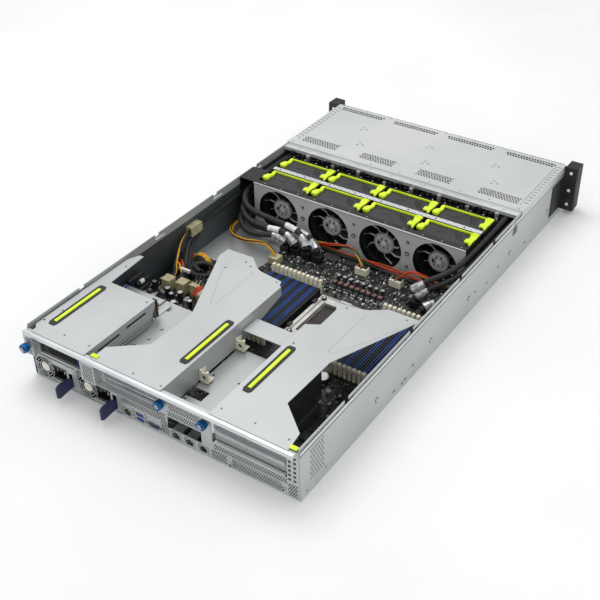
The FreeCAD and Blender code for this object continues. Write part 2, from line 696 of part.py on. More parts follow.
def psus():
    """Two hot-swap power supplies, each with a fan mouth, an inlet and a release tab."""
    for number, x0 in enumerate(PSU_X, 1):
        x1 = x0 + PSU_W
        z0 = PSU_Z
        z1 = z0 + PSU_H
        case = box(x0, x1, PSU_Y0, Y_REAR, z0, z1)
        fan_xc = x0 + PSU_FAN_X
        zc = (z0 + z1) / 2
        mouth = prism(fan_xc, Y_REAR - PSU_RECESS, zc, Y_AXIS, PSU_FAN_R, PSU_RECESS + 1, 36)
        hub = prism(fan_xc, Y_REAR - PSU_RECESS, zc, Y_AXIS, PSU_HUB_R, PSU_RECESS - 1.5, 24)
        inlet = box(x0 + INLET_X0, x0 + INLET_X0 + INLET_W, Y_REAR - INLET_D, Y_REAR + 1,
                    z0 + INLET_Z0, z0 + INLET_Z0 + INLET_H)
        tab_x0 = x0 + TAB_X
        swing = TAB_SEAT * 0.5
        seat = box(tab_x0 - 1.0, tab_x0 + TAB_T + swing, Y_REAR - TAB_SEAT - RUN, Y_REAR + 1,
                   TAB_Z0 - 2, TAB_Z1 + 2)
        body = fuse([cut(case, [mouth, inlet, seat]), hub])
        contacts = box(x0 + 15, x0 + 55, PSU_Y0 - PSU_TONGUE, PSU_Y0, DOCK_Z, DOCK_Z + CARD_T)
        keep("psu_%d" % number, fuse([body, contacts]))
        y0 = Y_REAR - TAB_SEAT
        flag = [(y0, TAB_Z0), (Y_REAR + TAB_L - 4, TAB_Z0 - 3), (Y_REAR + TAB_L, TAB_Z0),
                (Y_REAR + TAB_L, TAB_Z1 - 3), (Y_REAR + TAB_L - 4, TAB_Z1), (Y_REAR + 8, TAB_Z1),
                (y0, TAB_Z0 + 10)]
        keep("psu_latch_%d" % number, upright(flag, tab_x0, tab_x0 + TAB_T))


def handle(x, y_mid):
    """Sunk frame of a lifting handle, and its grip bar."""
    y0 = y_mid - HANDLE_L / 2
    y1 = y_mid + HANDLE_L / 2
    ends = HANDLE_W / 3
    outline = [(x - HANDLE_W / 2, y0 + ends), (x - ends, y0), (x + ends, y0), (x + HANDLE_W / 2, y0 + ends),
               (x + HANDLE_W / 2, y1 - ends), (x + ends, y1), (x - ends, y1), (x - HANDLE_W / 2, y1 - ends)]
    frame = flat(outline, PLATE_Z - HANDLE_H, PLATE_Z + 1.0)
    trough = box(x - GRIP_W / 2 - 1, x + GRIP_W / 2 + 1, y0 + 8, y1 - 8, PLATE_Z - 3, PLATE_Z + 2)
    grip = box(x - GRIP_W / 2, x + GRIP_W / 2, y0 + 8, y1 - 8, PLATE_Z + 1.5 - GRIP_H, PLATE_Z + 1.5)
    return outline, cut(frame, [trough]), grip


def riser_left():
    """Left bracket: plate, folded side, front board and the handle over the rear drive bay."""
    z0 = PLATE_Z - SHEET
    left = BAND_IN - 3.0
    outline = [(DIVIDE_X, PLATE_REAR), (left - 6, PLATE_REAR), (left - 6, PLATE_REAR - 9),
               (left, PLATE_REAR - 15), (left, rear(195)), (left - 8.6, rear(213)), (left - 15.6, rear(213)),
               (left - 19.6, rear(138)), (DIVIDE_X, rear(138))]
    plate = flat(outline, z0, PLATE_Z)
    ring, frame, grip = handle(left - 18.6, rear(73))
    plate = cut(plate, [flat(ring, z0 - 1, PLATE_Z + 1)])
    fold = [(rear(137), PLATE_Z), (rear(137), 71.0), (rear(123), SIDE_Z0), (rear(6), SIDE_Z0),
            (PLATE_REAR - 7, 60.0), (PLATE_REAR - 7, PLATE_Z)]
    side = upright(fold, DIVIDE_X, DIVIDE_X + SHEET)
    slots = []
    for y0, y1, z in ((rear(113), rear(83), 70.0), (rear(61), rear(27), 68.0)):
        slots.append(box(DIVIDE_X - 1, DIVIDE_X + 2, y0, y1, z, z + 2.2))
    side = cut(side, slots)
    front = box(DIVIDE_X + SHEET, left - 17.6, rear(138), rear(138) + SHEET, SIDE_Z0, z0)
    sheet = fuse([plate, side, front])
    ledge_y = Y_REAR - SHEET - 1.0
    floor_z = CEIL_Z + SHEET + RUN
    floor = box(BAY_X0 - 2.5, BAY_X1 + 2.5, rear(133), ledge_y, floor_z, floor_z + SHEET)
    runner_a = box(BAY_X0 - 2.5, BAY_X0 - 1.3, rear(133), ledge_y, floor_z, z0)
    runner_b = box(BAY_X1 + 1.3, BAY_X1 + 2.5, rear(133), ledge_y, floor_z, z0)
    sheet = fuse([sheet, runner_a, runner_b, floor])
    keep("riser_left", sheet, frame, grip)


def rear_drive():
    """Rear hot-swap drive: slotted bezel, latch tab and the drive behind."""
    x0 = BAY_X0 + 0.5
    x1 = BAY_X1 - 0.5
    z0 = BAY_Z0 + RUN + 0.2
    z1 = BAY_Z1 - 4.0
    y1 = Y_REAR - 3.0
    bezel = box(x0, x1, y1 - 6, y1, z0, z1)
    slots = []
    count = 13
    for i in range(count):
        sx = x0 + 13 + i * 4.4
        slots.append(box(sx, sx + 2.6, y1 - 4, y1 + 1, z0 + 3, z1 - 3))
    tab = box(x0 + 1.5, x0 + 10.5, y1 - 3, y1 + 1.5, z0 + 1.5, z1 - 3)
    bezel = cut(bezel, slots + [tab])
    drive = box(x0 + 6, x1 - 6, y1 - 106, y1 - 6, z0, z0 + 15)
    keep("rear_drive_carrier", bezel, tab, drive)


def riser_center():
    """Centre bracket: plate with its long tongue, the folded wall, the card and the handle."""
    z0 = PLATE_Z - SHEET
    edge = DIVIDE_X - 0.8
    outline = [(CHANNEL_X, PLATE_REAR), (edge - 12, PLATE_REAR), (edge - 12, rear(25)), (55.0, rear(61)),
               (52.0, rear(143)), (107.0, aft(197)), (106.0, aft(177)), (61.0, aft(176)), (40.0, aft(195)),
               (31.0, aft(199)), (-8.0, aft(204)), (-11.0, aft(213)), (CHANNEL_X, aft(215))]
    plate = flat(outline, z0, PLATE_Z)
    ring, frame, grip = handle(-4.0, rear(105))
    plate = cut(plate, [flat(ring, z0 - 1, PLATE_Z + 1)])
    fold = [(aft(215), PLATE_Z), (aft(215), 66.0), (rear(200), 52.0), (rear(200), 44.0), (rear(4), 44.0),
            (rear(4), PLATE_Z)]
    wall = upright(fold, CHANNEL_X, CHANNEL_X + SHEET)
    card = box(CARD_X[0], CARD_X[0] + CARD_T, rear(147), rear(9), CARD_Z0, z0)
    slot_a = box(CARD_X[0] - 8, CARD_X[0], rear(137), rear(48), 58.0, 66.0)
    blanks = box(SLOT1[0] + 1, SLOT1[1] - 2.0, rear(6.5), rear(5.5), SLOT1[2] + 1, SLOT1[3] - 1)
    web_a = box(SLOT1[0] + 1, SLOT1[0] + 2.2, rear(6.5), rear(4), SLOT1[2] + 1, z0)
    web_b = box(SLOT1[1] - 3.2, SLOT1[1] - 2.0, rear(6.5), rear(4), SLOT1[2] + 1, z0)
    top = box(SLOT1[0] + 1, SLOT1[1] - 2.0, rear(6.5), rear(4), z0 - SHEET, z0)
    bracket = fuse([plate, wall, blanks, web_a, web_b, top])
    clips = []
    for y in (rear(155), rear(77)):
        clip = box(CHANNEL_X - 15, CHANNEL_X, y - 9, y + 9, 44.0, 60.0)
        bore = box(CHANNEL_X - 11, CHANNEL_X - 4, y - 10, y + 10, 49.0, 55.0)
        clips.append(cut(clip, [bore]))
    board = fuse([card, slot_a])
    keep("riser_center", bracket, frame, grip, board, *clips)


def riser_right():
    """Right bracket: plate with its long tongue, side wall, card, slot covers and handle."""
    z0 = PLATE_Z - SHEET
    edge = 2.0 - BAND_IN
    outline = [(RIGHT_X, PLATE_REAR), (RIGHT_X, rear(205)), (-108.0, aft(258)), (-108.0, aft(218)),
               (-97.0, aft(204)), (-135.0, aft(200)), (-147.0, aft(195)), (-168.0, aft(180)),
               (edge, aft(180)), (edge, aft(186)), (-161.0, rear(155)), (-159.0, rear(63)),
               (edge + 13.6, rear(27)), (edge + 9.6, PLATE_REAR)]
    plate = flat(outline, z0, PLATE_Z)
    ring, frame, grip = handle(-104.0, rear(104))
    plate = cut(plate, [flat(ring, z0 - 1, PLATE_Z + 1)])
    step = box(RIGHT_X, CHANNEL_X - 1.5, rear(196), rear(165), 64.0, 64.0 + SHEET)
    wall = box(RIGHT_X - 1.0, RIGHT_X - 1.0 + SHEET, rear(199), rear(4), 44.0, z0)
    card = box(CARD_X[1] - CARD_T, CARD_X[1], rear(147), rear(9), CARD_Z0, z0)
    slot_a = box(CARD_X[1], CARD_X[1] + 8, rear(137), rear(48), 58.0, 66.0)
    slot_b = box(CARD_X[1], CARD_X[1] + 8, rear(137), rear(48), 37.0, 45.0)
    blanks = box(SLOT2[0] + 1, SLOT2[1] - 2.4, rear(6.5), rear(5.5), SLOT2[2] + 1, SLOT2[3] - 1)
    rail = box(SLOT2[0] + 1, SLOT2[1] - 2.4, rear(8.2), rear(4), 49.5, 51.5)
    web_a = box(SLOT2[0] + 1, SLOT2[0] + 2.2, rear(6.5), rear(4), SLOT2[2] + 1, z0)
    web_b = box(SLOT2[1] - 3.6, SLOT2[1] - 2.4, rear(6.5), rear(4), SLOT2[2] + 1, z0)
    top = box(SLOT2[0] + 1, SLOT2[1] - 2.4, rear(6.5), rear(4), z0 - SHEET, z0)
    bracket = fuse([plate, wall, step, blanks, rail, web_a, web_b, top])
    board = fuse([card, slot_a, slot_b])
    keep("riser_right", bracket, frame, grip, board)


def slot_tray():
    """Tray under the channel between the brackets, over the mezzanine card space."""
    x0 = SLOT2[1] + 1.0
    x1 = CHANNEL_X - 1.0
    y1 = Y_REAR - SHEET
    tray = box(x0, x1, TRAY_Y0, y1, TRAY_Z, TRAY_Z + SHEET)
    cuts = [box(-40.0, x1 + 1, rear(60), rear(41), TRAY_Z - 1, TRAY_Z + 3),
            box(-62.0, x1 + 1, TRAY_Y0 + 6, rear(155), TRAY_Z - 1, TRAY_Z + 3)]
    tray = cut(tray, cuts)
    legs = [box(x0, x0 + SHEET, rear(145), y1, BOARD_Z + BOARD_T, TRAY_Z),
            box(x0, x0 + 8, TRAY_Y0, TRAY_Y0 + SHEET, BOARD_Z + BOARD_T, TRAY_Z)]
    keep("slot_tray", fuse([tray] + legs))


def boards():
    """Main board and the power distribution board."""
    z1 = BOARD_Z + BOARD_T
    outline = [(BOARD_X0, BOARD_Y0), (BOARD_X1, BOARD_Y0), (BOARD_X1, BOARD_STEP_Y),
               (BOARD_STEP_X, BOARD_STEP_Y), (BOARD_STEP_X, BOARD_Y1), (BOARD_X0, BOARD_Y1)]
    keep("motherboard", flat(outline, BOARD_Z, z1))
    dock_y = POWER_Y1 - 29.5
    outline = [(POWER_X0, POWER_Y0), (POWER_X1, POWER_Y0), (POWER_X1, POWER_Y1), (DOCK_X0, POWER_Y1),
               (DOCK_X0, dock_y), (POWER_X0, dock_y)]
    parts = [flat(outline, BOARD_Z, z1)]
    blocks = [(110, 20, 148, 22, 8), (140, 12, 146, 32, 12), (160, 30, 142, 20, 10), (112, 14, 182, 26, 14),
              (170, 38, 174, 20, 7)]
    for x0, width, behind, length, height in blocks:
        parts.append(box(x0, x0 + width, aft(behind), aft(behind + length), z1, z1 + height))
    for x0 in PSU_X:
        dock_end = PSU_Y0 - PSU_TONGUE - RUN
        parts.append(box(x0 + 12, x0 + 58, dock_end - DOCK_L, dock_end, z1, z1 + DOCK_H))
    keep("power_board", *parts)


def latch_profile(y, z, way):
    """Outline of a memory latch in Y and Z: a post with a finger pad on top."""
    post = y + way * DLATCH_D * 0.6
    pad = y + way * DLATCH_D
    top = z + DLATCH_H
    return [(y, z + RUN), (post, z + RUN), (post, top - 6), (pad, top - 3), (pad, top), (y + way * 1.5, top),
            (y, top - 5)]


def dimm_sockets():
    """Twenty-four memory sockets, twelve on each side of the processor."""
    z0 = BOARD_Z + BOARD_T
    sockets = []
    front_latches = []
    rear_latches = []
    for last_x in DIMM_X:
        for i in range(DIMM_COUNT):
            x = last_x + DIMM_PITCH * i
            y1 = DIMM_Y0 + DIMM_L
            body = box(x - DIMM_W / 2, x + DIMM_W / 2, DIMM_Y0, y1, z0, z0 + DIMM_H)
            slot = box(x - DIMM_SLOT_W / 2, x + DIMM_SLOT_W / 2, DIMM_Y0 + 3, y1 - 3,
                       z0 + DIMM_H - DIMM_SLOT_D, z0 + DIMM_H + 1)
            sockets.append(cut(body, [slot]))
            for group, y, way in ((front_latches, DIMM_Y0 - RUN, -1), (rear_latches, y1 + RUN, 1)):
                profile = latch_profile(y, z0, way)
                group.append(upright(profile, x - DLATCH_W / 2, x + DLATCH_W / 2))
    keep("dimm_sockets", *sockets)
    keep("dimm_latches_front", *front_latches)
    keep("dimm_latches_rear", *rear_latches)


def cpu_socket():
    """Processor socket: contact field, its frame and the corner screws."""
    z0 = BOARD_Z + BOARD_T
    x0 = CPU_X - CPU_W / 2
    x1 = CPU_X + CPU_W / 2
    y0 = CPU_Y - CPU_L / 2
    y1 = CPU_Y + CPU_L / 2
    frame = box(x0, x1, y0, y1, z0, z0 + CPU_FRAME_H)
    window = box(CPU_X - CPU_WINDOW_W / 2, CPU_X + CPU_WINDOW_W / 2, CPU_Y - CPU_WINDOW_L / 2,
                 CPU_Y + CPU_WINDOW_L / 2, z0 + 3.0, z0 + CPU_FRAME_H + 1)
    frame = cut(frame, [window])
    keep("cpu_socket", frame)


def board_parts():
    """Chips, coils, capacitors, battery and standoff rings on the main board."""
    z = BOARD_Z + BOARD_T
    parts = []
    for i in range(9):
        x = -23.0 - i * 9.8
        parts.append(box(x - 3.8, x + 3.8, aft(82), aft(90), z, z + 8))
    for i in range(8):
        x = -20.0 - i * 11.0
        parts.append(prism(x, aft(70), z, Z_AXIS, 3.2, 9.0, 12))
    for x in (CARD_X[0] + CARD_T / 2, CARD_X[1] - CARD_T / 2):
        parts.append(box(x - 4, x + 4, rear(139), rear(43), z, CARD_Z0 - RUN))
    parts.append(prism(-126.0, rear(192), z, Z_AXIS, 10.0, 5.5, 24))
    for x in (-129.0, -148.0):
        for y in (rear(172), rear(148)):
            parts.append(cut(prism(x, y, z, Z_AXIS, 3.4, 5.0, 12), [prism(x, y, z + 1, Z_AXIS, 1.6, 6.0, 8)]))
    blocks = [(-205, 27, rear(133), 27, 3), (-178, 16, rear(95), 16, 2), (-206, 46, rear(65), 15, 9),
              (10, 26, rear(145), 26, 3), (-60, 26, rear(133), 28, 3), (-138, 22, rear(95), 22, 8),
              (8, 24, aft(18), 18, 3), (-28, 24, aft(18), 12, 3), (-190, 22, aft(36), 16, 4),
              (74, 20, aft(224), 22, 6)]
    for x0, width, y0, length, height in blocks:
        parts.append(box(x0, x0 + width, y0, y0 + length, z, z + height))
    keep("board_parts", *parts)


def connectors():
    """Wire connectors on both boards, and the clip on the left wall."""
    z = BOARD_Z + BOARD_T
    plugs = []
    for x, y in ((138.0, aft(218)), (160.0, aft(224)), (184.0, aft(228))):
        plugs.append(box(x - 8, x + 8, y - 8, y + 8, z, z + 20))
    plugs.append(box(106.0, 118.0, aft(224), aft(244), z, z + 24))
    plugs.append(box(80.0, 98.0, aft(76), aft(92), z, z + 12))
    for x in (-42.0, -102.0):
        pair = box(x - 10, x + 10, aft(32), aft(44), z, z + 12)
        plugs.append(cut(pair, [box(x - 2.5, x + 2.5, aft(31), aft(35), z + 1, z + 13)]))
    for i in range(4):
        x = 94.0 - 20.0 * i
        plugs.append(box(x - 8, x + 8, aft(41), aft(53), z, z + 12))
    for x, y in ((-152.0, aft(70)), (-172.0, aft(92))):
        plugs.append(box(x - 8, x + 8, y - 6, y + 6, z, z + 12))
    clip = box(206.0, INNER_W, aft(114), aft(140), 46.0, 62.0)
    bore = box(209.0, INNER_W - 2, aft(108), aft(148), 50.0, 58.0)
    plugs.append(cut(clip, [bore]))
    keep("connectors", *plugs)


def tube(points, radius, sides):
    """Cable along straight runs joined by tangent arcs, as large as the runs allow."""
    pts = [V(*p) for p in points]
    edges = []
    start = pts[0]
    for i in range(1, len(pts) - 1):
        a = (pts[i - 1] - pts[i])
        b = (pts[i + 1] - pts[i])
        short = min(a.Length, b.Length)
        turn = math.pi - a.getAngle(b)
        bend = 0.45 * short / math.tan(turn / 2)
        reach = 0.45 * short
        a.normalize()
        b.normalize()
        p0 = pts[i] + a * reach
        p1 = pts[i] + b * reach
        middle = a + b
        middle.normalize()
        centre_gap = math.hypot(bend, reach)
        top = pts[i] + middle * (centre_gap - bend)
        edges.append(Part.LineSegment(start, p0).toShape())
        edges.append(Part.Arc(p0, top, p1).toShape())
        print("bend radius %.1f for a cable of radius %.1f" % (bend, radius))
        start = p1
    edges.append(Part.LineSegment(start, pts[-1]).toShape())
    path = Part.Wire(edges)
    along = (pts[1] - pts[0]).normalize()
    across = along.cross(X_AXIS if abs(along.x) < 0.9 else Z_AXIS).normalize()
    corners = []
    for i in range(sides + 1):
        turn = FreeCAD.Rotation(along, 360.0 / sides * (i % sides))
        corners.append(pts[0] + turn.multVec(across * radius))
    section = Part.Face(Part.makePolygon(corners))
    solid = path.makePipeShell([section.OuterWire], True, False)
    ratio = solid.Volume / (section.Area * path.Length)
    print("volume over section times length %.3f" % ratio)
    return solid


def cables():
    """Sleeved signal cables, supply wires and fan wires, each held at both ends."""
    start = BACKPLANE_Y + RUN
    duct = front(235)
    mouth = front(285)
    left_signals = [
        [(206, start, 66), (207, duct, 67), (206, mouth, 66), (202, aft(12), 60), (176, aft(32), 52),
         (130, aft(34), 50), (90, aft(34), 47), (66, aft(38), 42), (54, aft(47), 25)],
        [(205, start, 52), (206, duct, 53), (205, mouth + 2, 52), (200, aft(20), 47), (172, aft(44), 41),
         (134, aft(48), 40), (106, aft(45), 43), (88, aft(45), 38), (74, aft(47), 25)],
        [(204, start, 38), (205, duct, 39), (204, mouth + 4, 38), (198, aft(30), 34), (168, aft(58), 31),
         (140, aft(63), 32), (120, aft(60), 38), (107, aft(54), 36), (94, aft(47), 25)],
        [(204, start, 24), (205, duct, 25), (204, mouth + 2, 24), (199, aft(4), 23), (176, aft(28), 21),
         (140, aft(27), 22), (116, aft(20), 26), (95, aft(19), 34), (65, aft(27), 36), (49, aft(34), 33),
         (34, aft(47), 26)],
    ]
    right_signals = [
        [(-205, start, 64), (-206, duct, 65), (-205, mouth + 15, 64), (-202, aft(20), 60),
         (-188, aft(46), 52), (-168, aft(62), 44), (-152, aft(70), 25)],
        [(-205, start, 46), (-206, duct, 47), (-205, mouth + 15, 46), (-204, aft(26), 46),
         (-199, aft(49), 42), (-189, aft(70), 37), (-172, aft(92), 26)],
    ]
    supply_wires = [
        [(212.4, start, 59), (212.4, duct + 10, 59), (212.4, mouth + 20, 58), (212.4, aft(60), 55),
         (212.4, aft(100), 54), (212.4, aft(141), 54), (209, aft(163), 47), (203, aft(180), 37),
         (197, aft(196), 28), (188, aft(207), 24), (186, aft(219.3), 24)],
        [(208, start, 13), (208, duct + 5, 14), (208, mouth + 15, 13), (208, aft(22), 15),
         (200, aft(52), 20), (176, aft(76), 26), (146, aft(84), 30), (116, aft(84), 38),
         (98, aft(84), 38), (89, aft(84), 23.2)],
    ]
    fan_wires = [
        [(58, aft(8), 16), (40, aft(14), 22), (16, aft(16), 30), (-8, aft(20), 36), (-30, aft(30), 38),
         (-42, aft(38), 23.2)],
        [(-176, aft(10), 16), (-158, aft(18), 24), (-138, aft(24), 34), (-116, aft(30), 38),
         (-102, aft(38), 23.2)],
    ]
    solids = [tube(route, CABLE_R, CABLE_SIDES) for route in left_signals + right_signals]
    solids += [tube(route, WIRE_R, WIRE_SIDES) for route in supply_wires]
    solids += [tube(route, FAN_WIRE_R, WIRE_SIDES) for route in fan_wires]
    keep("signal_cables", *solids)


def build():
    """Make every node and write one file for each."""
    chassis_base()
    front_cover()
    drive_cage()
    drive_backplane()
    drive_carriers()
    rack_ears()
    fan_cage()
    fan_wall()
    fans()
    rear_panel()
    thumbscrews()
    io_ports()
    psu_cage()
    psus()
    riser_left()
    rear_drive()
    riser_center()
    riser_right()
    slot_tray()
    boards()
    dimm_sockets()
    cpu_socket()
    board_parts()
    connectors()
    cables()
    os.makedirs("parts", exist_ok=True)
    triangles = 0
    for name, shape in PARTS.items():
        shape.exportStep("parts/%s.step" % name)
        count = len(shape.tessellate(0.1)[1])
        triangles += count
        print(name, "solids", len(shape.Solids), "valid", shape.isValid(), "triangles", count)
    print("nodes", len(PARTS), "triangles", triangles)


build()
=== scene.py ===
# %% [markdown]
# This scene dresses a two-unit rack server, seen from above and behind with its rear top cover off.
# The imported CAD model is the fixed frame: every piece here sits where that frame says, in metres,
# and moves with one of its bodies. Sheet steel is copied from the frame, merged, punched and
# bevelled, because real sheet has rounded edges and punched holes that the plain solids leave out.

# %% Load the frame and keep its box
import bpy
import bmesh
import json
import random
from math import atan2, cos, hypot, radians, sin
from mathutils import Matrix, Vector


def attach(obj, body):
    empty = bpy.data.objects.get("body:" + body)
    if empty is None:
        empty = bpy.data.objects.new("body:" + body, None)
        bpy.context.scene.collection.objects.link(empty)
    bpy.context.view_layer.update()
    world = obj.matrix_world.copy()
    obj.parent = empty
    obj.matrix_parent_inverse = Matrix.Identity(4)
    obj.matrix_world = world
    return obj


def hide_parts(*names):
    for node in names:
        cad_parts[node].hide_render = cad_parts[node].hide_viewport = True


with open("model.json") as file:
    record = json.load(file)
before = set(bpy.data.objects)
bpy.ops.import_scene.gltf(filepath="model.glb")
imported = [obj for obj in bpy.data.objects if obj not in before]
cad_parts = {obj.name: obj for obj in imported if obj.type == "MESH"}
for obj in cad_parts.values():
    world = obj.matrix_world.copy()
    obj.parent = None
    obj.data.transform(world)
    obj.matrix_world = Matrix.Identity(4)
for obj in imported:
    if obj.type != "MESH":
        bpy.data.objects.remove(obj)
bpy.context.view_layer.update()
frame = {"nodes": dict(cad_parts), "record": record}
MM = 0.001
X, Y, Z = (1, 0, 0), (0, 1, 0), (0, 0, 1)
body_of = {node: body for body, members in frame["record"]["behaviour"]["bodies"].items() for node in members}


def linked(name, data):
    """A new object at the origin, linked to the scene."""
    made = bpy.data.objects.new(name, data)
    bpy.context.scene.collection.objects.link(made)
    return made

# %% [markdown]
# Every finish starts from the real one. A colour is written as the sRGB hex value that a colour
# picker shows, and one function turns it into the linear value that the shader needs. One more
# function adds a shader node with its settings and links, so a material reads as a short list.

# %% Colour and node helpers
def linear(hex_value):
    """An sRGB hex colour as linear RGBA."""
    channels = [int(hex_value[i:i + 2], 16) / 255 for i in (1, 3, 5)]
    return [c / 12.92 if c <= 0.04045 else ((c + 0.055) / 1.055) ** 2.4 for c in channels] + [1]


def add_node(tree, kind, values=None, links=None, **settings):
    """Adds one shader node, sets its sockets and properties, and links other nodes' outputs to it."""
    node = tree.nodes.new(kind)
    for name, value in settings.items():
        setattr(node, name, value)
    for name, value in (values or {}).items():
        node.inputs[name].default_value = value
    for name, output in (links or {}).items():
        tree.links.new(output, node.inputs[name])
    return node


def start_material(name, **surface):
    """A new material with its surface shader and the place that its patterns are drawn in."""
    material = bpy.data.materials.new(name)
    material.use_nodes = True
    tree = material.node_tree
    tree.nodes.clear()
    shader = add_node(tree, "ShaderNodeBsdfPrincipled", surface)
    add_node(tree, "ShaderNodeOutputMaterial", links={"Surface": shader.outputs["BSDF"]})
    return material, tree, shader, add_node(tree, "ShaderNodeTexCoord").outputs["Object"]


def show_pattern(tree, shader, pattern, tones, stops, height, bump):
    """Colours a surface between two tones by a pattern's value, and lifts it by a height."""
    ramp = add_node(tree, "ShaderNodeValToRGB", links={"Fac": pattern})
    for stop, tone, place in zip(ramp.color_ramp.elements, tones, stops):
        stop.color = linear(tone)
        stop.position = place
    tree.links.new(ramp.outputs["Color"], shader.inputs["Base Color"])
    relief = add_node(tree, "ShaderNodeBump", {"Strength": bump, "Distance": 0.0002}, {"Height": height})
    tree.links.new(relief.outputs["Normal"], shader.inputs["Normal"])


def made_of(name, dark, light, roughness, patch_mm, metallic=0, grain_mm=0.5, bump=0.1):
    """A finish whose colour drifts between two near tones, with a fine grain at a real size."""
    material, tree, shader, place = start_material(name, Metallic=metallic)
    patches, grain = [add_node(tree, "ShaderNodeTexNoise", {"Scale": 1000 / size, "Detail": detail},
                               {"Vector": place}).outputs["Fac"]
                      for size, detail in ((patch_mm, 3), (grain_mm, 2))]
    both = add_node(tree, "ShaderNodeMath", {1: 0.25}, {0: grain, 2: patches}, operation="MULTIPLY_ADD")
    rough = add_node(tree, "ShaderNodeMapRange", {"To Min": roughness - 0.08, "To Max": roughness + 0.08},
                     {"Value": patches})
    tree.links.new(rough.outputs["Result"], shader.inputs["Roughness"])
    show_pattern(tree, shader, both.outputs["Value"], (dark, light), (0.48, 0.78), grain, bump)
    return material

# %% [markdown]
# The metals. Zinc-coated sheet is dipped and rolled: satin, with a faint drift of tone, so it gets two
# near greys and a fine grain. A darker copy is painted shade and a brighter one painted highlight, also
# the bright bar's colour. Port shells are brighter. Powder coat is sprayed and baked, which leaves a matt
# grain; black coat is also painted shade in holes and recesses. The processor's frame is nickel plated and
# its shield bronze. The captive screws are anodised blue, and small screws are dark zinc.

# %% Metal finishes
zinc = made_of("zinc_coated_steel", "#b6b9ba", "#bfc2c2", 0.45, 120, 0.5, 0.6, 0.05)
zinc_cover = made_of("zinc_coated_cover", "#c9cccc", "#d2d4d4", 0.42, 120, 0.45, 0.6, 0.05)
# A darker copy of the zinc is painted shade: the left wall's inner face, grooves, rivet rings and thin dark
# lines.
zinc_painted_shade = made_of("zinc_coated_steel_shaded", "#4d5457", "#5e676b", 0.4, 120, 0.6, 0.6, 0.05)
# A brighter copy of the zinc is painted highlight on lips, hems, rails and top edges, and the bright perforated
# bar's colour.
bright_zinc_and_painted_highlight = made_of("bright_zinc_and_painted_highlight_steel", "#cdd2d3", "#dde1e2", 0.35, 60, 0.6, 0.6, 0.05)
wall_grey = made_of("grey_coated_steel", "#c0c3c4", "#cdd0d1", 0.42, 80, 0.25, 0.6, 0.05)
# Black powder coat, which also serves as painted shade in small holes, slots and recesses and under a lance.
black_coat_and_painted_shade = made_of("black_powder_coat_and_painted_shade", "#08090a", "#141516", 0.55, 25, 0, 0.5, 0.35)
port_tin = made_of("tinned_port_shell", "#a9adae", "#c9cccd", 0.3, 12, 0.9, 0.5, 0.05)
socket_plate = made_of("nickel_socket_plate", "#c4c2bd", "#dedcd8", 0.35, 20, 0.7, 0.5, 0.06)
bronze = made_of("bronze_contact_cap", "#54483c", "#6f6152", 0.35, 15, 0.6, 0.5, 0.05)
blue_anodised = made_of("blue_anodised_aluminium", "#03507f", "#0873b4", 0.32, 8, 0.5, 0.4, 0.08)
screw_steel = made_of("dark_zinc_screw", "#8b8f91", "#a7abad", 0.35, 6, 0.85, 0.4, 0.05)

# %% [markdown]
# The plastics. Moulded ABS and nylon take the fine texture of their mould and a little gloss. The handles
# are a strong lime, the memory latches natural ivory, large plugs beige, memory sockets blue or black,
# and the supplies' tabs navy. Fan struts and motor plates are grey with a slight sheen. Black ABS also
# stands in as painted shade on the fan wall's hole edges and in slots, and black nylon in the clips' holes.

# %% Plastic finishes
# Black ABS, which also serves as painted shade on the fan wall's hole edges and in the left bracket's slots.
black_abs_and_painted_shade = made_of("black_moulded_abs_and_painted_shade", "#0c0d0e", "#1a1b1d", 0.5, 20, 0, 0.5, 0.25)
lid_abs = made_of("dark_grey_moulded_abs", "#212226", "#2e2f34", 0.48, 25, 0, 0.5, 0.25)
lime = made_of("lime_moulded_nylon", "#d2ec10", "#e6fa34", 0.42, 18, 0, 0.6, 0.08)
ivory = made_of("natural_ivory_nylon", "#d6d1b6", "#ebe7d4", 0.45, 6)
white_nylon = made_of("white_nylon", "#dcd9cc", "#efece0", 0.45, 8)
beige_nylon = made_of("beige_connector_nylon", "#a39a78", "#bdb390", 0.45, 8)
blue_nylon = made_of("blue_nylon_socket", "#033680", "#064c9e", 0.42, 10)
# Black nylon, which also serves as painted shade in the clips' round holes.
black_nylon_and_painted_shade = made_of("black_nylon_socket_and_painted_shade", "#0b0b0c", "#1b1b1c", 0.42, 10)
navy = made_of("navy_moulded_abs", "#17193f", "#232655", 0.42, 10, 0, 0.5, 0.15)
port_blue = made_of("blue_port_plastic", "#123f8f", "#1c57b5", 0.4, 6)
hub_grey = made_of("grey_motor_label_plate", "#a1a5a7", "#b9bdbf", 0.4, 5, 0.35)
strut_grey = made_of("grey_fan_strut", "#dfe2e3", "#eef0f0", 0.42, 8, 0.3)

# %% [markdown]
# Boards and small parts. Solder mask is a glossy lacquer over copper tracks, which show as faint raised
# lines, so its pattern is a fine grid of cells that lifts the lacquer a little. Chips are cast resin,
# coils pressed ferrite with a red cap, small parts fired ceramic, capacitors and the battery bright cans.

# %% Board finishes
def solder_mask(name, base, track):
    """A lacquered board with a faint raised pattern of cells, about 1.3 mm and 3.4 mm wide."""
    material, tree, shader, place = start_material(
        name, **{"Roughness": 0.34, "Coat Weight": 0.3, "Coat Roughness": 0.2})
    cells = [add_node(tree, "ShaderNodeTexVoronoi", {"Scale": 1000 / size, "Randomness": spread},
                      {"Vector": place}, distance=kind, feature="F1").outputs["Distance"]
             for size, spread, kind in ((3.4, 0.9, "MANHATTAN"), (1.3, 0.7, "CHEBYCHEV"))]
    mixed = add_node(tree, "ShaderNodeMath", links=dict(enumerate(cells)), operation="MULTIPLY")
    show_pattern(tree, shader, mixed.outputs["Value"], (base, track), (0.12, 0.5), mixed.outputs["Value"], 0.25)
    return material


